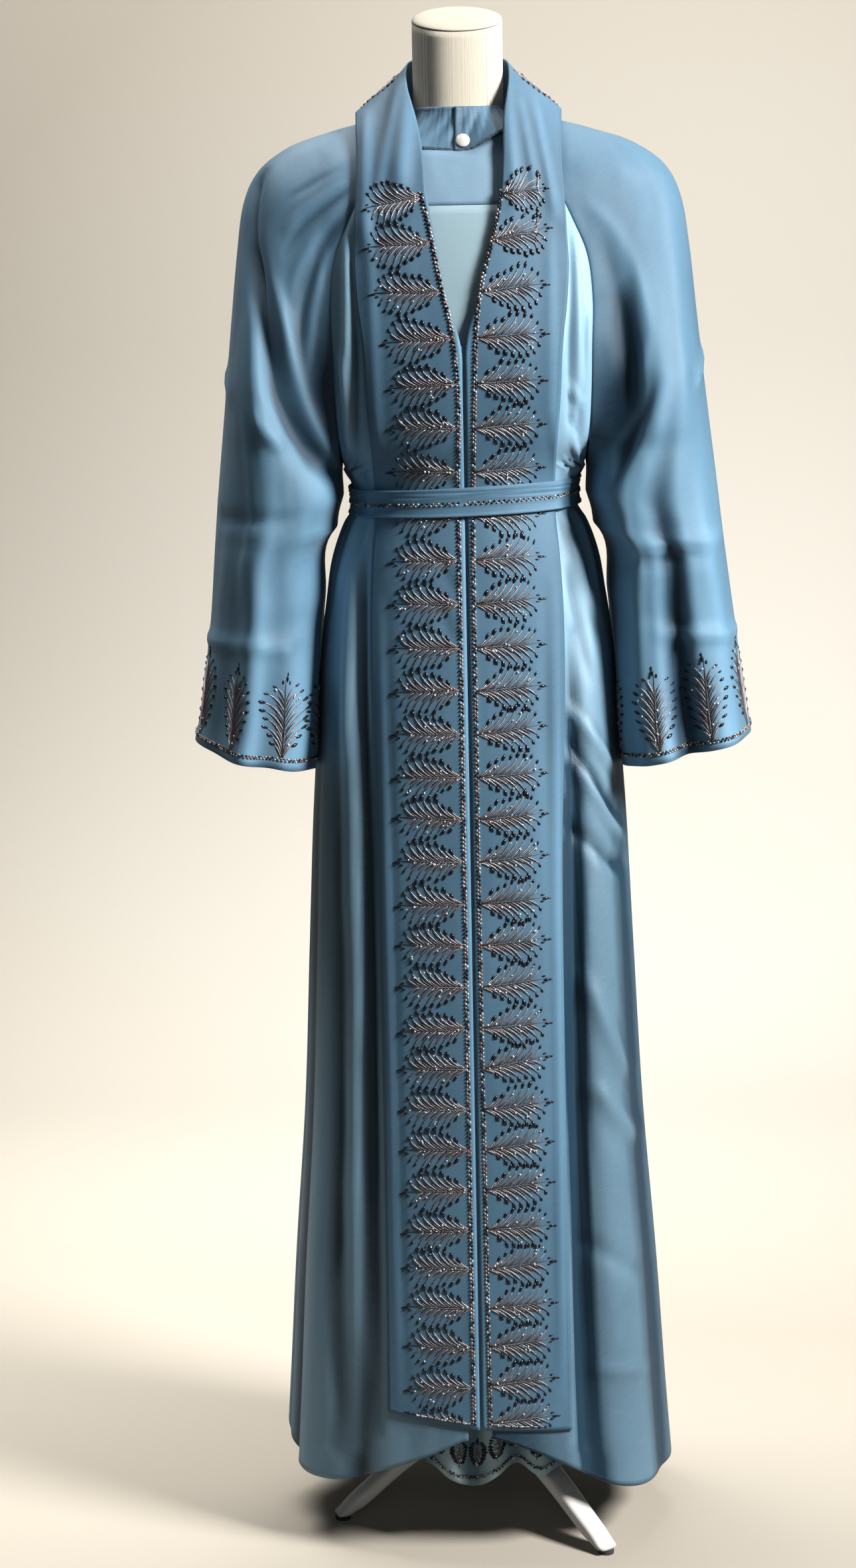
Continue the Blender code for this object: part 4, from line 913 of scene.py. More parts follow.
def embroider(name, grid, sign, lift, feet, up_axis, length, seed):
    """All the sprays on one piece of cloth: barbs, teardrop beads and sequins, three joined meshes."""
    normal = sign * normals_of(grid)
    raised_grid = grid + normal * lift
    random = np.random.default_rng(seed)
    paths, widths = spray_paths()
    count, sprays, tipped = len(paths), len(feet), 2 * len(BARBS)
    reach = 1.0 + random.normal(0.0, SPRAY_UNEVEN, (sprays, count))
    varied = paths[None] * np.ones((sprays, 1, 1, 1))
    varied[..., 1] *= reach[..., None]
    centre, up = on_cloth(raised_grid, normal, feet, up_axis, varied, length)
    width = np.tile(widths, (sprays, 1)) * THREAD_HALF_WIDTH * min(1.0, length / SPRAY_LENGTH)
    bright = np.concatenate((np.full(tipped, 0.80), np.full(2 * len(FILL_BARBS), 0.12), (0.08,)))
    shade = np.clip(random.normal(np.tile(bright, sprays), 0.15), 0.0, 1.0)
    strokes(name + "_threads", centre.reshape(-1, BARB_STEPS, 3), up.reshape(-1, BARB_STEPS, 3),
            width, 1.1 * width, THREAD_SECTION, THREAD, shade)
    places, headings, sizes = spray_beads()
    along = np.array((-1.0, -0.5, 0.25, 1.0)) * BEAD_HALF_LENGTH / length
    path = (places[:, None] + headings[:, None] * (along[None, :] * sizes[:, None])[..., None])[None]
    path = path * np.ones((sprays, 1, 1, 1))
    path[:, :tipped, :, 1] *= reach[:, :tipped, None]
    centre, up = on_cloth(raised_grid, normal, feet, up_axis, path, length)
    size = sizes[None] * random.uniform(0.78, 1.15, (sprays, len(sizes)))
    width = size[..., None] * np.array((0.25, 0.70, 1.0, 0.30)) * BEAD_HALF_WIDTH
    strokes(name + "_beads", centre.reshape(-1, 4, 3), up.reshape(-1, 4, 3), width.reshape(-1, 4),
            0.75 * width.reshape(-1, 4), BEAD_SECTION, DARK_BEAD)
    u = random.uniform(0.08, 0.95, (sprays, SPARKLES))
    v = random.uniform(-0.24, 0.24, (sprays, SPARKLES)) * np.minimum(1.0, 1.9 * u)
    along = np.array(((-0.0010, 0.0), (0.0, 0.0), (0.0010, 0.0))) / length
    place = np.stack((u, v), axis=-1)[:, :, None] + along
    centre, up = on_cloth(raised_grid, normal, feet, up_axis, place, length)
    width = np.array((0.35, 1.0, 0.35)) * random.uniform(*SEQUIN_HALF_WIDTHS, (sprays * SPARKLES, 1))
    up = up.reshape(-1, 3, 3)
    centre = centre.reshape(-1, 3, 3) + SEQUIN_LIFT * up
    strokes(name + "_sequins", centre, up, width, 0.55 * width, BEAD_SECTION, SEQUIN)


def along_path(grid, sign, lift, rows, columns, pitch, shares):
    """Places and normals at even steps along a path of rows and columns on a grid: for each step, one at
    each of the given shares of it."""
    normal = sign * normals_of(grid)
    rows, columns = np.broadcast_arrays(rows, columns)
    path = read_grid(grid + normal * lift, rows, columns)
    length = run_length(path, 0)
    at = (np.arange(int(length[-1] / pitch))[:, None] + np.array(shares)[None, :]) * pitch
    return [np.stack([np.interp(at, length, values[:, k]) for k in range(3)], axis=-1)
            for values in (path, read_grid(normal, rows, columns))]


def bead_row(name, grid, sign, lift, rows, columns, pitch, size, seed, material=None):
    """A double row of small beads along a path: by turns a little to its left and to its right, each a
    short stroke turned at random."""
    path = along_path(grid, sign, lift + 0.2 * size, rows, columns, pitch, (0.5,))
    centre, up = (values[:, 0] for values in path)
    count = len(centre)
    along = np.gradient(centre, axis=0)
    along /= np.linalg.norm(along, axis=-1, keepdims=True)
    aside = np.cross(along, up) * (np.where(np.arange(count) % 2 == 0, 0.45, -0.45) * size)[:, None]
    reach = np.array((-1.0, -0.4, 0.4, 1.0)) * size * 0.62
    random = np.random.default_rng(seed)
    heading = along + 0.5 * np.cross(along, up) * random.uniform(-1.0, 1.0, (count, 1))
    points = (centre + aside)[:, None] + heading[:, None] * reach[None, :, None]
    width = np.tile(np.array((0.40, 1.0, 1.0, 0.40)), (count, 1)) * size * 0.5
    strokes(name, points, np.repeat(up[:, None], 4, axis=1), width, 0.85 * width, BEAD_SECTION,
            material or MIXED_BEAD, random.uniform(0.0, 1.0, count))


def stitch_row(name, grid, sign, lift, rows, columns):
    """A row of short sewn stitches along a path on a grid, each a low stroke with a gap after it."""
    centre, up = along_path(grid, sign, lift, rows, columns, STITCH_PITCH, (0.12, 0.40, 0.72))
    width = np.tile(np.array((0.4, 1.0, 0.4)), (len(centre), 1)) * STITCH_HALF_WIDTH
    strokes("stitches_" + name, centre, up, width, width, THREAD_SECTION, SEWING)


# ---- finishes

def new_group(name, inputs, outputs):
    """A shader node group with named sockets: inputs are (name, kind, value), outputs (name, kind)."""
    tree = bpy.data.node_groups.new(name, "ShaderNodeTree")
    for label, kind, value in inputs:
        tree.interface.new_socket(name=label, in_out="INPUT", socket_type=kind).default_value = value
    for label, kind in outputs:
        tree.interface.new_socket(name=label, in_out="OUTPUT", socket_type=kind)
    return tree, tree.nodes.new("NodeGroupInput"), tree.nodes.new("NodeGroupOutput")


def fill(tree, made, inputs):
    """Sets a node's inputs: each is a value, or a socket to link from."""
    for key, value in dict(inputs).items():
        if isinstance(value, bpy.types.NodeSocket):
            tree.links.new(value, made.inputs[key])
        else:
            made.inputs[key].default_value = value
    return made


def node(tree, kind, inputs=(), **settings):
    """A node with its settings and inputs."""
    made = tree.nodes.new("ShaderNode" + kind)
    for key, value in settings.items():
        setattr(made, key, value)
    return fill(tree, made, inputs)


def maths(tree, operation, *values, clamp=False):
    """The outcome of a sum, a difference or a product and sum of values and sockets."""
    return node(tree, "Math", dict(enumerate(values)), operation=operation, use_clamp=clamp).outputs[0]


def noise(tree, vector, scale, detail=2.0, distortion=0.0):
    """Soft noise as a value: detail adds finer steps, and distortion bends it."""
    return node(tree, "TexNoise", {"Vector": vector, "Scale": scale, "Detail": detail,
                                   "Distortion": distortion}).outputs["Fac"]


def rescaled(tree, value, low, high, start=0.0, end=1.0):
    """A value from between start and end brought to between low and high."""
    return node(tree, "MapRange", {"Value": value, "From Min": start, "From Max": end, "To Min": low,
                                   "To Max": high}).outputs[0]


def mix_colours(tree, share, first, second):
    """Mix of two colours by a share; each may be a colour or a socket."""
    first, second = ((*value, 1.0) if isinstance(value, tuple) else value for value in (first, second))
    return node(tree, "Mix", {0: share, 6: first, 7: second}, data_type="RGBA").outputs[2]


THREADS = 1400.0          # to the metre


def make_weave_group():
    """Woven threads: two crossing wave patterns on the cloth's own map, with uneven slubs."""
    tree, given, out = new_group(
        "woven_threads",
        (("Map", "NodeSocketVector", (0, 0, 0)), ("Threads per metre", "NodeSocketFloat", THREADS)),
        (("Height", "NodeSocketFloat"), ("Slub", "NodeSocketFloat")))
    across = {"Vector": given.outputs["Map"], "Scale": given.outputs["Threads per metre"],
              "Distortion": 0.6, "Detail": 1.0}
    waves = [node(tree, "TexWave", across, bands_direction=turn).outputs["Fac"] for turn in ("X", "Y")]
    crossed = maths(tree, "ADD", *waves)
    stretched = node(tree, "Mapping", {"Vector": given.outputs["Map"], "Scale": (60.0, 900.0, 60.0)})
    slub = noise(tree, stretched.outputs[0], 1.0, 3.0)
    fill(tree, out, {"Height": maths(tree, "ADD", crossed, slub), "Slub": slub})
    return tree


def make_shade_group():
    """Cloth colour: painted shade in troughs and painted light on ridges by the piece's tone, with soft
    mottling.
    """
    tree, given, out = new_group(
        "cloth_shade", (("Place", "NodeSocketVector", (0, 0, 0)), ("Tone", "NodeSocketFloat", 0.5),
                        ("Slub", "NodeSocketFloat", 0.5), ("Dark", "NodeSocketColor", (0, 0, 0, 1)),
                        ("Light", "NodeSocketColor", (1, 1, 1, 1)), ("Gloss", "NodeSocketFloat", 0.4)),
        (("Color", "NodeSocketColor"), ("Roughness", "NodeSocketFloat")))
    mottle = noise(tree, given.outputs["Place"], 7.0, 4.0)
    shade = maths(tree, "MULTIPLY_ADD", mottle, 0.30, -0.15)
    thread = maths(tree, "MULTIPLY_ADD", given.outputs["Slub"], 0.24, -0.12)
    total = maths(tree, "ADD", maths(tree, "ADD", shade, thread), given.outputs["Tone"], clamp=True)
    colour = mix_colours(tree, total, given.outputs["Dark"], given.outputs["Light"])
    rough = maths(tree, "MULTIPLY_ADD", mottle, 0.14, given.outputs["Gloss"])
    fill(tree, out, {"Color": colour, "Roughness": rough})
    return tree


WEAVE_GROUP = make_weave_group()
SHADE_GROUP = make_shade_group()


def new_material(name):
    """An empty Principled material, its tree and its shader."""
    made = bpy.data.materials.new(name)
    made.use_nodes = True
    return made, made.node_tree, made.node_tree.nodes["Principled BSDF"]


def fabric(name, dark, light, gloss, sheen, threads=THREADS, bump=0.25, mapped=True, specular=0.5,
           crumple=0.0):
    """Woven cloth from the two groups: colour by tone, which paints shade and light between the dark and
    light colours, roughness by mottling, bump from the threads, and soft upright wrinkles where crumple gives
    their depth."""
    made, tree, shader = new_material(name)
    place = node(tree, "TexCoord")
    weave = node(tree, "Group", node_tree=WEAVE_GROUP)
    fill(tree, weave, {"Threads per metre": threads, "Map": place.outputs["UV" if mapped else "Object"]})
    shade = node(tree, "Group", node_tree=SHADE_GROUP)
    fill(tree, shade, {"Dark": (*dark, 1.0), "Light": (*light, 1.0), "Gloss": gloss,
                       "Place": place.outputs["Object"], "Slub": weave.outputs["Slub"]})
    if mapped:
        tone = node(tree, "Attribute", attribute_name="tone")
        tree.links.new(tone.outputs["Fac"], shade.inputs["Tone"])
    raise_up = node(tree, "Bump", {"Height": weave.outputs["Height"], "Strength": bump, "Distance": 0.0003})
    if crumple:
        long = node(tree, "Mapping", {"Vector": place.outputs["Object"], "Scale": (17.0, 17.0, 5.0)})
        soft = noise(tree, long.outputs[0], 1.0, 1.5, 0.3)
        swell = node(tree, "Bump", {"Height": soft, "Strength": 1.0, "Distance": crumple})
        tree.links.new(swell.outputs["Normal"], raise_up.inputs["Normal"])
    fill(tree, shader, {"Base Color": shade.outputs["Color"], "Roughness": shade.outputs["Roughness"],
                        "Normal": raise_up.outputs["Normal"], "Sheen Weight": sheen, "Sheen Roughness": 0.45,
                        "Specular IOR Level": specular})
    return made


def metallic_thread():
    """Twisted metallic thread: silver, mauve and copper by place and stroke, dark between its turns."""
    made, tree, shader = new_material("metallic_thread")
    place = node(tree, "TexCoord")
    tone = node(tree, "Attribute", attribute_name="tone")
    patch = noise(tree, place.outputs["Object"], 55.0)
    warm = rescaled(tree, patch, 0.0, 1.0, 0.42, 0.66)
    base = mix_colours(tree, warm, (0.66, 0.66, 0.70), (0.50, 0.41, 0.415))
    dim = rescaled(tree, tone.outputs["Fac"], 0.30, 1.0, 0.15, 0.85)
    shaded = mix_colours(tree, dim, (0.025, 0.022, 0.030), base)
    twist = node(tree, "TexWave", {"Vector": place.outputs["UV"], "Scale": 190.0, "Distortion": 0.6},
                 bands_direction="X")
    colour = mix_colours(tree, twist.outputs["Fac"], (0.060, 0.055, 0.065), shaded)
    raise_up = node(tree, "Bump", {"Height": twist.outputs["Fac"], "Strength": 0.6, "Distance": 0.0004})
    fill(tree, shader, {"Base Color": colour, "Roughness": rescaled(tree, patch, 0.22, 0.42),
                        "Normal": raise_up.outputs["Normal"], "Metallic": 0.65})
    return made


def bead_material(name, stops, rough, metallic):
    """Glass or metal beads, each bead's colour picked by its tone from a stepped ramp."""
    made, tree, shader = new_material(name)
    tone = node(tree, "Attribute", attribute_name="tone")
    place = node(tree, "TexCoord")
    speck = noise(tree, place.outputs["Object"], 900.0)
    ramp_node = node(tree, "ValToRGB", {"Fac": tone.outputs["Fac"]})
    ramp_node.color_ramp.interpolation = "CONSTANT"
    elements = ramp_node.color_ramp.elements
    for i, (at, colour) in enumerate(stops):
        element = elements[i] if i < 2 else elements.new(at)
        element.position = at
        element.color = (*colour, 1.0)
    uneven = rescaled(tree, speck, rough - 0.06, rough + 0.12)
    fill(tree, shader, {"Base Color": ramp_node.outputs["Color"], "Roughness": uneven, "Metallic": metallic})
    return made


def plain_finish(name, first, second, scale, rough, bump, stretch=(1.0, 1.0, 1.0), metallic=0.0, coat=0.0):
    """Wood, metal, pearl or rubber: two colours and a roughness varied by stretched noise."""
    made, tree, shader = new_material(name)
    place = node(tree, "TexCoord")
    stretched = node(tree, "Mapping", {"Vector": place.outputs["Object"], "Scale": stretch})
    grain = noise(tree, stretched.outputs[0], scale, 5.0)
    raise_up = node(tree, "Bump", {"Height": grain, "Strength": bump, "Distance": 0.0006})
    fill(tree, shader, {"Base Color": mix_colours(tree, grain, first, second), "Metallic": metallic,
                        "Roughness": rescaled(tree, grain, rough - 0.07, rough + 0.10), "Coat Weight": coat,
                        "Normal": raise_up.outputs["Normal"]})
    return made


# Dark and light colours of each cloth: on the mapped cloths, the cloth in painted shade and in painted light,
# mixed by tone and mottling; nap, sewing thread and linen mix theirs by mottling alone.
CREPE = fabric("blue_crepe", (0.006, 0.036, 0.070), (0.155, 0.318, 0.465), 0.42, 0.10,
               crumple=0.007)
# The satin's light colour is paler than the crepe's: a painted sheen besides its own gloss.
SATIN = fabric("blue_satin", (0.008, 0.042, 0.078), (0.270, 0.465, 0.620), 0.33, 0.05,
               specular=0.6, crumple=0.008)
BAND_CREPE = fabric("band_crepe", (0.006, 0.034, 0.066), (0.135, 0.288, 0.432), 0.46, 0.10,
                    specular=0.45, crumple=0.003)
YOKE_CREPE = fabric("yoke_crepe", (0.060, 0.130, 0.190), (0.290, 0.460, 0.620), 0.46, 0.10,
                    specular=0.45, crumple=0.004)
MATTE_CREPE = fabric("matte_crepe", (0.120, 0.220, 0.270), (0.420, 0.580, 0.650), 0.62, 0.20, 1800.0)
NAP = fabric("collar_nap", (0.010, 0.035, 0.060), (0.050, 0.120, 0.180), 0.80, 0.60, mapped=False)
SEWING = fabric("sewing_thread", (0.040, 0.090, 0.150), (0.080, 0.160, 0.240), 0.55, 0.2, mapped=False)
LINEN = fabric("form_linen", (0.700, 0.620, 0.490), (0.900, 0.840, 0.720), 0.80, 0.3,
               700.0, 0.9, mapped=False)
THREAD = metallic_thread()
DARK_BEAD = bead_material("dark_bead", ((0.0, (0.012, 0.014, 0.022)), (0.9, (0.05, 0.05, 0.07))), 0.16, 0.0)
SEQUIN = bead_material("sequin", ((0.0, (0.92, 0.92, 0.94)), (0.7, (0.84, 0.78, 0.74))), 0.14, 0.3)
MIXED_BEAD = bead_material("mixed_bead", (
    (0.0, (0.030, 0.028, 0.036)), (0.34, (0.330, 0.200, 0.150)), (0.62, (0.420, 0.390, 0.400)),
    (0.90, (0.780, 0.760, 0.760))), 0.22, 0.6)
PEARL = plain_finish("pearl", (0.56, 0.51, 0.47), (0.76, 0.73, 0.71), 160.0, 0.20, 0.6, coat=0.6)
WOOD = plain_finish("white_wood", (0.78, 0.77, 0.73), (0.88, 0.87, 0.84), 40.0, 0.38, 0.15, (1.0, 1.0, 9.0))
STEEL = plain_finish("steel", (0.55, 0.55, 0.54), (0.74, 0.74, 0.73), 90.0, 0.32, 0.05, (1.0, 1.0, 0.1), 0.9)
RUBBER = plain_finish("rubber", (0.04, 0.04, 0.04), (0.08, 0.08, 0.08), 300.0, 0.75, 0.2)


# ---- dress form and stand

def turned_solid(name, rings, material):
    """A closed body from stacked rings of points, its ends closed by fans to their middles."""
    rows, columns = rings.shape[:2]
    faces = grid_faces(rows, columns, True)
    points = np.concatenate((rings.reshape(-1, 3), rings[0].mean(axis=0)[None], rings[-1].mean(axis=0)[None]))
    column = np.arange(columns)
    following = (column + 1) % columns
    top = np.stack((0 * column + rows * columns, column, following), axis=-1)
    low = np.stack((0 * column + rows * columns + 1, (rows - 1) * columns + following,
                    (rows - 1) * columns + column), axis=-1)
    triangles = np.concatenate((faces[:, (0, 1, 2)], faces[:, (0, 2, 3)], top, low))
    made = add_mesh(name, points, triangles, material)
    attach(made, "root")
    return made


def neck_rings(shares, sides=96):
    """Rings up the neck: a cylinder whose top is cut at a slant, a little wider at its foot."""
    angle = whole_turn(sides)[None, :]
    share = np.array(shares)[:, None]
    r = NECK_RADIUS * (1.0 + 0.03 * ramp(0.14, 0.0, share))
    z = NECK_BASE_Z + (NECK_SEAM_Z - NECK_BASE_Z) * share - NECK_LEAN * r * np.cos(angle) * share
    return round_axis(r, angle, z)


def cap_rings(sides=96):
    """Rings of the domed cap on the slanted neck: a quarter ellipse from its middle to its edge."""
    angle = whole_turn(sides)[None, :]
    turn = np.linspace(0.03, 1.0, 14)[:, None] * math.pi / 2
    r = NECK_RADIUS * np.sin(turn) ** 0.8
    z = NECK_SEAM_Z + CAP_SEAM + CAP_RISE * np.cos(turn) ** 0.9 - NECK_LEAN * r * np.cos(angle)
    return round_axis(r, angle, z)


def leg_rings(degrees, reach):
    """A leg: a rounded bar carried along its curved path from the hub to its pad."""
    heading = math.radians(degrees)
    along = np.array((math.cos(heading), math.sin(heading), 0.0))
    across = np.array((-math.sin(heading), math.cos(heading), 0.0))
    table = np.array(LEG_PATH)
    share = np.linspace(table[0, 0], 1.0, 36)
    r = np.maximum(reach * share, HUB_RADIUS + 0.0004)
    z, size = curve(table[:, 0], table[:, 1], share), curve(table[:, 0], table[:, 2], share)
    tangent = np.gradient(np.stack((r, z), axis=-1), axis=0)
    tangent /= np.linalg.norm(tangent, axis=1)[:, None]
    normal = np.stack((-tangent[:, 1], tangent[:, 0]), axis=-1)
    flat = ramp(0.86, 1.0, share)[:, None]
    normal = normal * (1.0 - flat) + np.array((1.0, 0.0)) * flat
    normal /= np.linalg.norm(normal, axis=1)[:, None]
    turn = whole_turn(32)
    side_push = np.sign(np.cos(turn)) * np.abs(np.cos(turn)) ** 0.6 * LEG_WIDTH / 2
    up_push = np.sign(np.sin(turn)) * np.abs(np.sin(turn)) ** 0.6 * LEG_DEPTH / 2
    centre = np.array((HUB_X, 0.0, 0.0)) + along * r[:, None] + np.array((0.0, 0.0, 1.0)) * z[:, None]
    lift = along * normal[:, :1] + np.array((0.0, 0.0, 1.0)) * normal[:, 1:]
    push = side_push[:, None] * across + up_push[:, None] * lift[:, None]
    return centre[:, None] + size[:, None, None] * push


# ---- putting it together

def painted_fold_shade(grid, sign):
    """Painted shade by form: how far each point stands out from the mean of its neighbours across the grid,
    near and further off, so that deep folds are painted darker as a whole and ridges painted lighter."""
    normal = sign * normals_of(grid)
    total = 0.0
    for reach, share in ((3, 90.0), (9, 26.0)):
        padded = np.pad(grid, ((0, 0), (reach, reach), (0, 0)), mode="edge")
        near = (padded[:, :-2 * reach] + padded[:, 2 * reach:]) / 2.0
        stands = np.sum((grid - near) * normal, axis=-1)
        total = total + share * (stands - np.median(stands))
    return np.clip(0.55 + total, 0.0, 1.0)


HIP_GLOW = 0.25           # painted highlight beside the bands below the waist
CHEST_GLOW = {-1: -0.10, 1: 0.42}    # painted highlight above the belt on the wearer's left, painted shade on the right
# Painted shade down the skirt and on the sleeves next to the body, by side
SKIRT_SHADE = {-1: 0.14, 1: 0.54}
SLEEVE_SHADE = {-1: 0.34, 1: 0.30}
EDGE_GLOW = 0.46          # painted light along the bands' inner edges below the V
BELT_GLOW = 0.14


def front_glow(grid, side):
    """Painted light and shade on a front panel: a highlight beside the band at the hip, a highlight on one
    side and shade on the other above the belt, and shade down the skirt.
    """
    x, z = np.abs(grid[..., 0]), grid[..., 2]
    hip = HIP_GLOW * ramp(0.80, 1.04, z) * ramp(0.150, 0.112, x)
    return hip + CHEST_GLOW[side] * ramp(1.15, 1.17, z) - SKIRT_SHADE[side] * ramp(1.04, 0.80, z)


def band_glow(grid):
    """Painted light along a band's inner edge below the V."""
    return EDGE_GLOW * ramp(0.0120, 0.0050, np.abs(grid[..., 0])) * ramp(1.33, 1.30, grid[..., 2])


def sleeve_shadow(side):
    """Painted shade on a sleeve where it meets the body, from the chest down to the underarm."""
    t = np.linspace(0.0, 1.0, SLEEVE_GRID[0])[:, None]
    s = np.linspace(0.0, 1.0, SLEEVE_GRID[1])[None, :]
    return SLEEVE_SHADE[side] * ramp(0.55, 0.95, s) * ramp(0.36, 0.56, t) * ramp(0.84, 0.66, t)


def build_garment():
    """All the cloth pieces; returns the surfaces and their signs, which the embroidery needs."""
    surfaces = {}

    def fit(piece, node_name, grid, wall, material, glow=0.0, sign=1, flip=False, closed=False):
        """One cloth piece in place of its solid: its tone is the painted shade of its folds, made lighter or
        darker by a glow.
        """
        tone = painted_fold_shade(grid, sign) + glow
        made = cloth("cloak_" + piece, grid, wall, material, flip, closed, tone)
        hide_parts(node_name)
        surfaces[node_name] = (grid, sign)

    for name, side in SIDES:
        grid = front_surface(side)
        fit("front_" + name, "front_" + name, grid, CLOTH, SATIN, front_glow(grid, side), side, side < 0)
        grid = band_surface(side)
        fit("band_" + name, "band_" + name, grid, BAND_CLOTH, BAND_CREPE, band_glow(grid), side, side < 0)
        for half, back in (("_front", False), ("_back", True)):
            label = "sleeve_" + name + half
            flip = (side > 0) != back
            fit(label, label, sleeve_surface(side, back), CLOTH, CREPE, -sleeve_shadow(side),
                -1 if flip else 1, flip)
    fit("back", "back", back_surface(), CLOTH, CREPE)
    fit("inset", "inset_front", inset_surface(), CLOTH, MATTE_CREPE)
    fit("yoke", "inset_yoke", yoke_surface(), CLOTH, YOKE_CREPE)
    fit("collar", "stand_collar", collar_surface(), COLLAR_CLOTH, CREPE)
    fit("belt", "belt", belt_surface(), BELT_CLOTH, BAND_CREPE, BELT_GLOW, closed=True)
    strip = placket_surface()
    # Painted light on the strip, which lies back in the bands' shade, and a painted shadow line down its
    # groove.
    tone = 0.95 - 0.6 * bell(strip[..., 0] - PLACKET_LINE_X, 0.0018)
    cloth("cloak_placket", strip, PLACKET_CLOTH, CREPE, tone=tone)
    return surfaces


def spray_feet(grid, side):
    """Rows and columns of the sprays' feet down a band: on its bead line, at the measured heights."""
    pitch = np.linspace(MOTIF_PITCH_TOP, MOTIF_PITCH_END, MOTIF_ROWS - 1)
    heights = MOTIF_TOP_Z - np.concatenate(((0.0,), np.cumsum(pitch)))
    feet = []
    for z in heights:
        row = np.interp(-z, -grid[NECK_ROWS:, 6, 2], np.arange(NECK_ROWS, grid.shape[0]))
        feet.append((row, bead_column(grid, side, row, z)))
    random = np.random.default_rng(61 + side)
    lean = SPRAY_LEAN[side] + random.normal(0.0, SPRAY_LEAN_SPREAD, len(feet))
    share = np.ones(len(feet))
    for i, (degrees, seen) in enumerate(TOP_SPRAYS[side]):
        lean[i], share[i] = math.radians(degrees), seen
    return np.concatenate((np.array(feet), lean[:, None], share[:, None]), axis=1)


def bead_column(grid, side, row, z):
    """Column of the bead line on one row of a band."""
    width = np.abs(grid[int(row), :, 0])
    return np.interp(spline(BEAD_LINES[side], 1, z), width, np.arange(len(width)))


def level_feet(rows, columns):
    """Feet of sprays that have no lean and show their full length."""
    rows, columns = np.broadcast_arrays(rows, columns)
    return np.stack((rows, columns, 0.0 * rows, 1.0 + 0.0 * rows), axis=-1)


def build_embroidery(surfaces):
    """Sprays, bead lines and stitches on the bands, the cuffs, the belt, the collar and the ruffle."""
    for name, side in SIDES:
        grid, sign = surfaces["band_" + name]
        feet = spray_feet(grid, side)
        embroider("band_" + name, grid, sign, BAND_CLOTH, feet, 1, SPRAY_LENGTH, 11 + side)
        neck = level_feet(NECK_SPRAY_ROWS, NECK_SPRAY_COLUMN)
        embroider("neck_" + name, grid, sign, BAND_CLOTH, neck, 1, NECK_SPRAY_LENGTH, 15 + side)
        rows = np.linspace(feet[0, 0] - 1.0, BAND_GRID[0] - 1.6, 500)
        z = read_grid(grid, rows, 6.0 + 0.0 * rows)[:, 2]
        columns = np.array([bead_column(grid, side, r, h) for r, h in zip(rows, z)])
        bead_row("bead_line_" + name, grid, sign, BAND_CLOTH, rows, columns, BEAD_PITCH, BEAD_SIZE, 21 + side)
        rows = np.linspace(1.0, BAND_GRID[0] - 2.0, 900)
        stitch_row("band_edge_" + name, grid, sign, BAND_CLOTH, rows, BAND_GRID[1] - 1.9)
        for half in ("_front", "_back"):
            grid, sign = surfaces["sleeve_" + name + half]
            last, wide = SLEEVE_GRID[0] - 1, SLEEVE_GRID[1] - 1.0
            row_length = np.linalg.norm(grid[-2, 30] - grid[-1, 30])
            across = np.linspace(0.0, wide, CUFF_SPRAYS + 1)[:-1] + wide / (2 * CUFF_SPRAYS)
            feet = level_feet(last - CUFF_BEADS_UP / row_length, across)
            label = "cuff_" + name + half
            embroider(label, grid, sign, CLOTH, feet, 0, CUFF_SPRAY_LENGTH, 31 + side)
            columns = np.linspace(0.0, wide, 160)
            bead_row("bead_line_" + label, grid, sign, CLOTH, feet[0, 0], columns, BEAD_PITCH,
                     HEM_BEAD_SIZE, 41)
            stitch_row(label, grid, sign, CLOTH, last - CUFF_STITCHES_UP / row_length, columns)
    grid, sign = surfaces["belt"]
    columns = np.linspace(0.0, BELT_GRID[1] - 1.0, 900)
    bead_row("bead_line_belt", grid, sign, BELT_CLOTH, BELT_BEADS_AT * (BELT_GRID[0] - 1.0), columns,
             BELT_BEAD_PITCH, BELT_BEAD_SIZE, 51)
    grid, sign = surfaces["inset_front"]
    last = INSET_GRID[0] - 1.0
    feet = level_feet(last - 2.0, np.linspace(4.0, INSET_GRID[1] - 5.0, RUFFLE_SPRAYS))
    embroider("ruffle", grid, sign, CLOTH, feet, 0, RUFFLE_SPRAY_LENGTH, 71)
    columns = np.linspace(0.5, INSET_GRID[1] - 1.5, 200)
    bead_row("bead_line_ruffle", grid, sign, CLOTH, last - 1.0, columns, BEAD_PITCH, HEM_BEAD_SIZE, 72)
    grid, sign = surfaces["stand_collar"]
    columns = np.linspace(1.0, COLLAR_GRID[1] - 2.0, 400)
    stitch_row("collar_top", grid, sign, COLLAR_CLOTH, 1.6, columns)
    bead_row("collar_edge_nap", grid, sign, NAP_LIFT, COLLAR_GRID[0] - 1.3, columns, NAP_PITCH, NAP_SIZE, 81,
             NAP)
    columns = np.linspace(0.0, FRONT_GRID[1] - 1.0, 200)
    for name in ("front_right", "front_left"):
        grid, sign = surfaces[name]
        stitch_row("hem_" + name, grid, sign, CLOTH, FRONT_GRID[0] - 1.8, columns)


def build_form():
    """The dress form's neck and cap, and the stand's legs, in place of their plainer solids."""
    shares = np.concatenate((np.linspace(1.0, 0.15, 12), np.linspace(0.12, 0.0, 6)))
    neck = turned_solid("form_neck_smooth", neck_rings(shares), LINEN)
    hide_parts("form_neck")
    cap = turned_solid("form_cap_smooth", cap_rings(), LINEN)
    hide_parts("form_neck_cap")
    for name, degrees, reach in LEGS:
        leg = turned_solid("stand_leg_smooth_" + name, leg_rings(degrees, reach)[:, ::-1], WOOD)
        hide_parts("stand_leg_" + name)
    kept = {"form_torso": LINEN, "stand_pole": STEEL, "stand_hub": WOOD, "collar_button": PEARL}
    kept.update({"stand_pad_" + name: RUBBER for name, _, _ in LEGS})
    for name, material in kept.items():
        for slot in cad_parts[name].material_slots:
            slot.material = material


# ---- studio

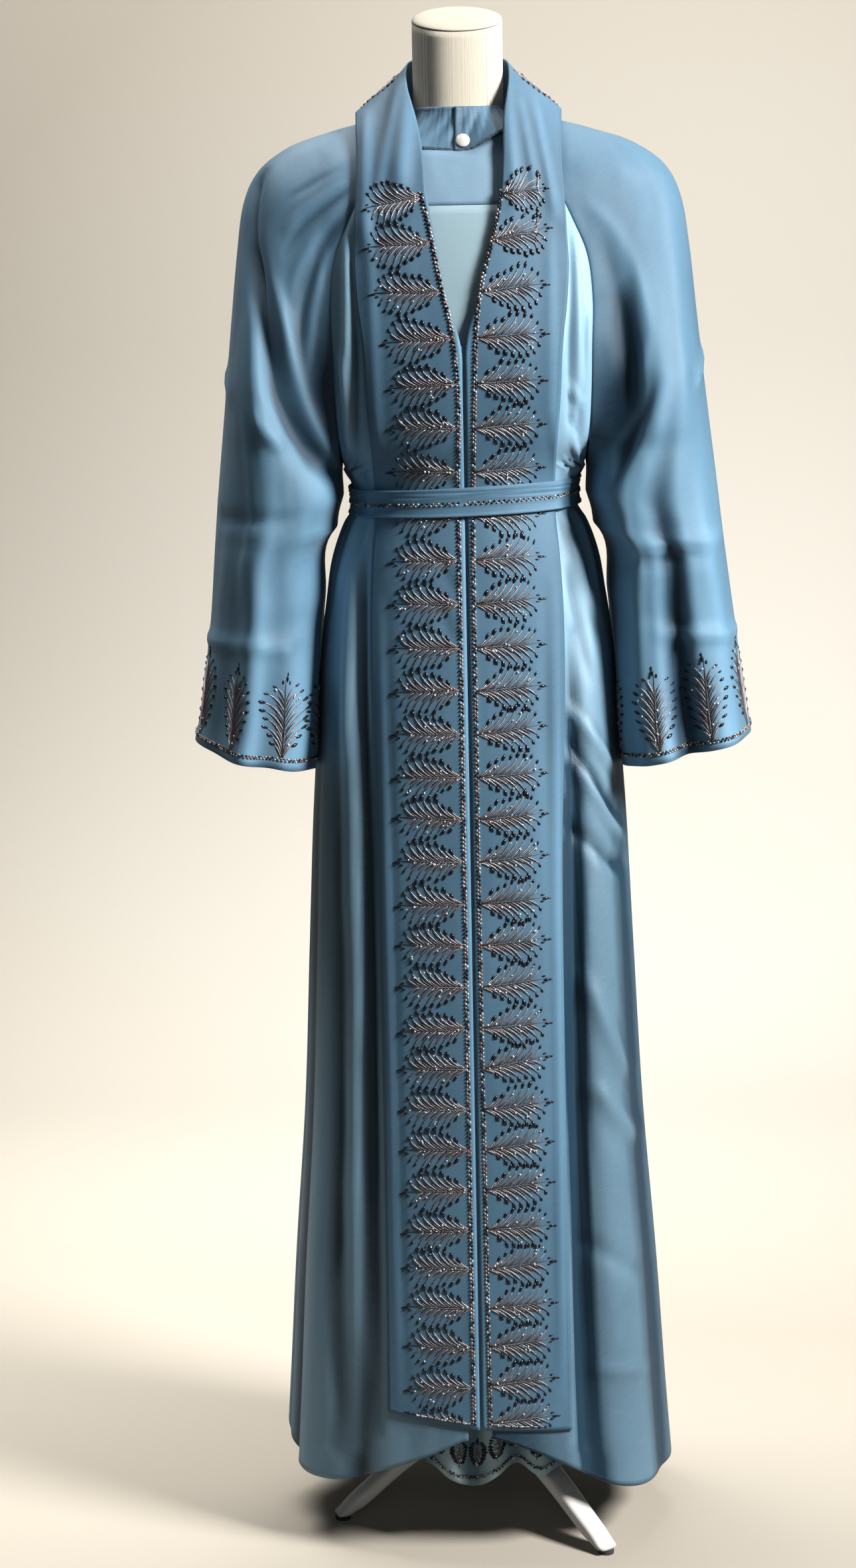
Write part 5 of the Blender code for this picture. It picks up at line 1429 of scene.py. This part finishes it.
PAPER_MIDDLE = (0.45, 2.2, 0.55)    # where the backdrop's painted shade is least, so it is palest there
PAPER_REACH = (0.45, 1.75)          # how far from there the painted shade starts, and where it is deepest
# The paper's own colour, and its colour in the painted shade towards the corners
PALE_PAPER = (0.800, 0.765, 0.690)
PAPER_IN_PAINTED_SHADE = (0.52, 0.475, 0.405)
THROWN_LIGHT = (0.22, 0.21, 0.19)
FILL_COLOUR = (0.86, 0.93, 1.0, 1.0)
FILL_STRENGTH = 0.025
BEYOND_PAPER = (0.80, 0.76, 0.69, 1.0)
CURVE_RADIUS = 1.2                  # of the paper between the floor and the upright part
SENSOR_WIDTH = 36.0
LIGHTS = (  # name, place, target, size, watts, spread in degrees, colour
    ("key", (2.55, -1.45, 2.9), (0.0, 0.0, 1.25), 1.1, 265.0, 180.0, (1.0, 0.985, 0.96)),
    ("front", (-0.4, -3.8, 2.3), (0.0, 0.0, 0.9), 1.6, 5.0, 180.0, (0.90, 0.96, 1.0)),
    ("backdrop", (0.1, 0.7, 2.9), (-0.2, 2.5, 0.4), 1.2, 38.0, 180.0, (1.0, 0.98, 0.95)),
    ("floor", (-0.8, 0.5, 2.7), (-0.8, 0.7, 0.0), 1.2, 19.0, 84.0, (1.0, 0.98, 0.95)),
)


def paper_finish():
    """The backdrop's paper: palest behind the garment, with painted shade that makes it warmer and darker
    towards the corners, dark to the light that it throws back, and clear from behind, so that the garment's
    back can be looked at."""
    made, tree, shader = new_material("paper")
    place = node(tree, "TexCoord")
    away = node(tree, "VectorMath", {0: place.outputs["Object"], 1: PAPER_MIDDLE}, operation="DISTANCE")
    share = rescaled(tree, away.outputs["Value"], 0.0, 1.0, *PAPER_REACH)
    colour = mix_colours(tree, share, PALE_PAPER, PAPER_IN_PAINTED_SHADE)
    path = node(tree, "LightPath")
    thrown = mix_colours(tree, path.outputs["Is Camera Ray"], THROWN_LIGHT, colour)
    seen = maths(tree, "SUBTRACT", 1.0, node(tree, "NewGeometry").outputs["Backfacing"])
    fill(tree, shader, {"Base Color": thrown, "Alpha": seen, "Roughness": 0.9, "Specular IOR Level": 0.1})
    return made


def studio_air():
    """The world: pale where the camera sees past the backdrop, and a faint cool fill on the garment."""
    world = bpy.data.worlds.new("studio")
    bpy.context.scene.world = world
    world.use_nodes = True
    tree = world.node_tree
    cool = fill(tree, tree.nodes["Background"], {"Color": FILL_COLOUR, "Strength": FILL_STRENGTH})
    pale = node(tree, "Background", {"Color": BEYOND_PAPER})
    seen = node(tree, "LightPath").outputs["Is Camera Ray"]
    both = node(tree, "MixShader", {0: seen, 1: cool.outputs[0], 2: pale.outputs[0]})
    fill(tree, tree.nodes["World Output"], {"Surface": both.outputs[0]})


def build_studio():
    """A pale floor that curves up into the backdrop, soft lights and the camera."""
    turn = np.linspace(0.05, 1.0, 30) * math.pi / 2
    depth = np.concatenate((np.linspace(-1.3, 1.6, 30), 1.6 + CURVE_RADIUS * np.sin(turn), np.full(12, 2.8)))
    height = np.concatenate((np.zeros(30), CURVE_RADIUS - CURVE_RADIUS * np.cos(turn),
                             np.linspace(1.3, 4.5, 12)))
    wide = np.linspace(-1.9, 1.9, 24)
    points = np.stack((wide[None, :] + 0.0 * depth[:, None], depth[:, None] + 0.0 * wide,
                       height[:, None] + 0.0 * wide), axis=-1)
    faces = grid_faces(len(depth), len(wide), False)[:, ::-1]
    floor = add_mesh("studio_floor", points.reshape(-1, 3), faces, paper_finish())
    studio_air()
    for name, place, target, size, power, spread, colour in LIGHTS:
        light = bpy.data.lights.new(name, "AREA")
        light.shape, light.size, light.energy, light.color = "DISK", size, power, colour
        light.spread = math.radians(spread)
        lamp = bpy.data.objects.new(name, light)
        lamp.location = place
        lamp.rotation_mode = "QUATERNION"
        lamp.rotation_quaternion = (Vector(place) - Vector(target)).to_track_quat("Z", "Y")
        bpy.context.scene.collection.objects.link(lamp)
    bpy.context.scene.view_settings.view_transform = "Standard"
    camera = bpy.data.objects.new("camera", bpy.data.cameras.new("camera"))
    camera.data.sensor_width = SENSOR_WIDTH
    camera.data.lens = FOCAL_PIXELS * SENSOR_WIDTH / PHOTO_HEIGHT
    camera.location = (0.0, -CAMERA_DISTANCE, CAMERA_HEIGHT)
    camera.rotation_euler = (Matrix.Rotation(math.atan(CAMERA_SIDE_PIXELS / FOCAL_PIXELS), 3, "Z")
                             @ Matrix.Rotation(math.pi / 2 - CAMERA_PITCH, 3, "X")
                             @ Matrix.Rotation(-CAMERA_ROLL, 3, "Z")).to_euler()
    bpy.context.scene.collection.objects.link(camera)
    bpy.context.scene.camera = camera


surfaces = build_garment()
build_embroidery(surfaces)
build_form()
build_studio()
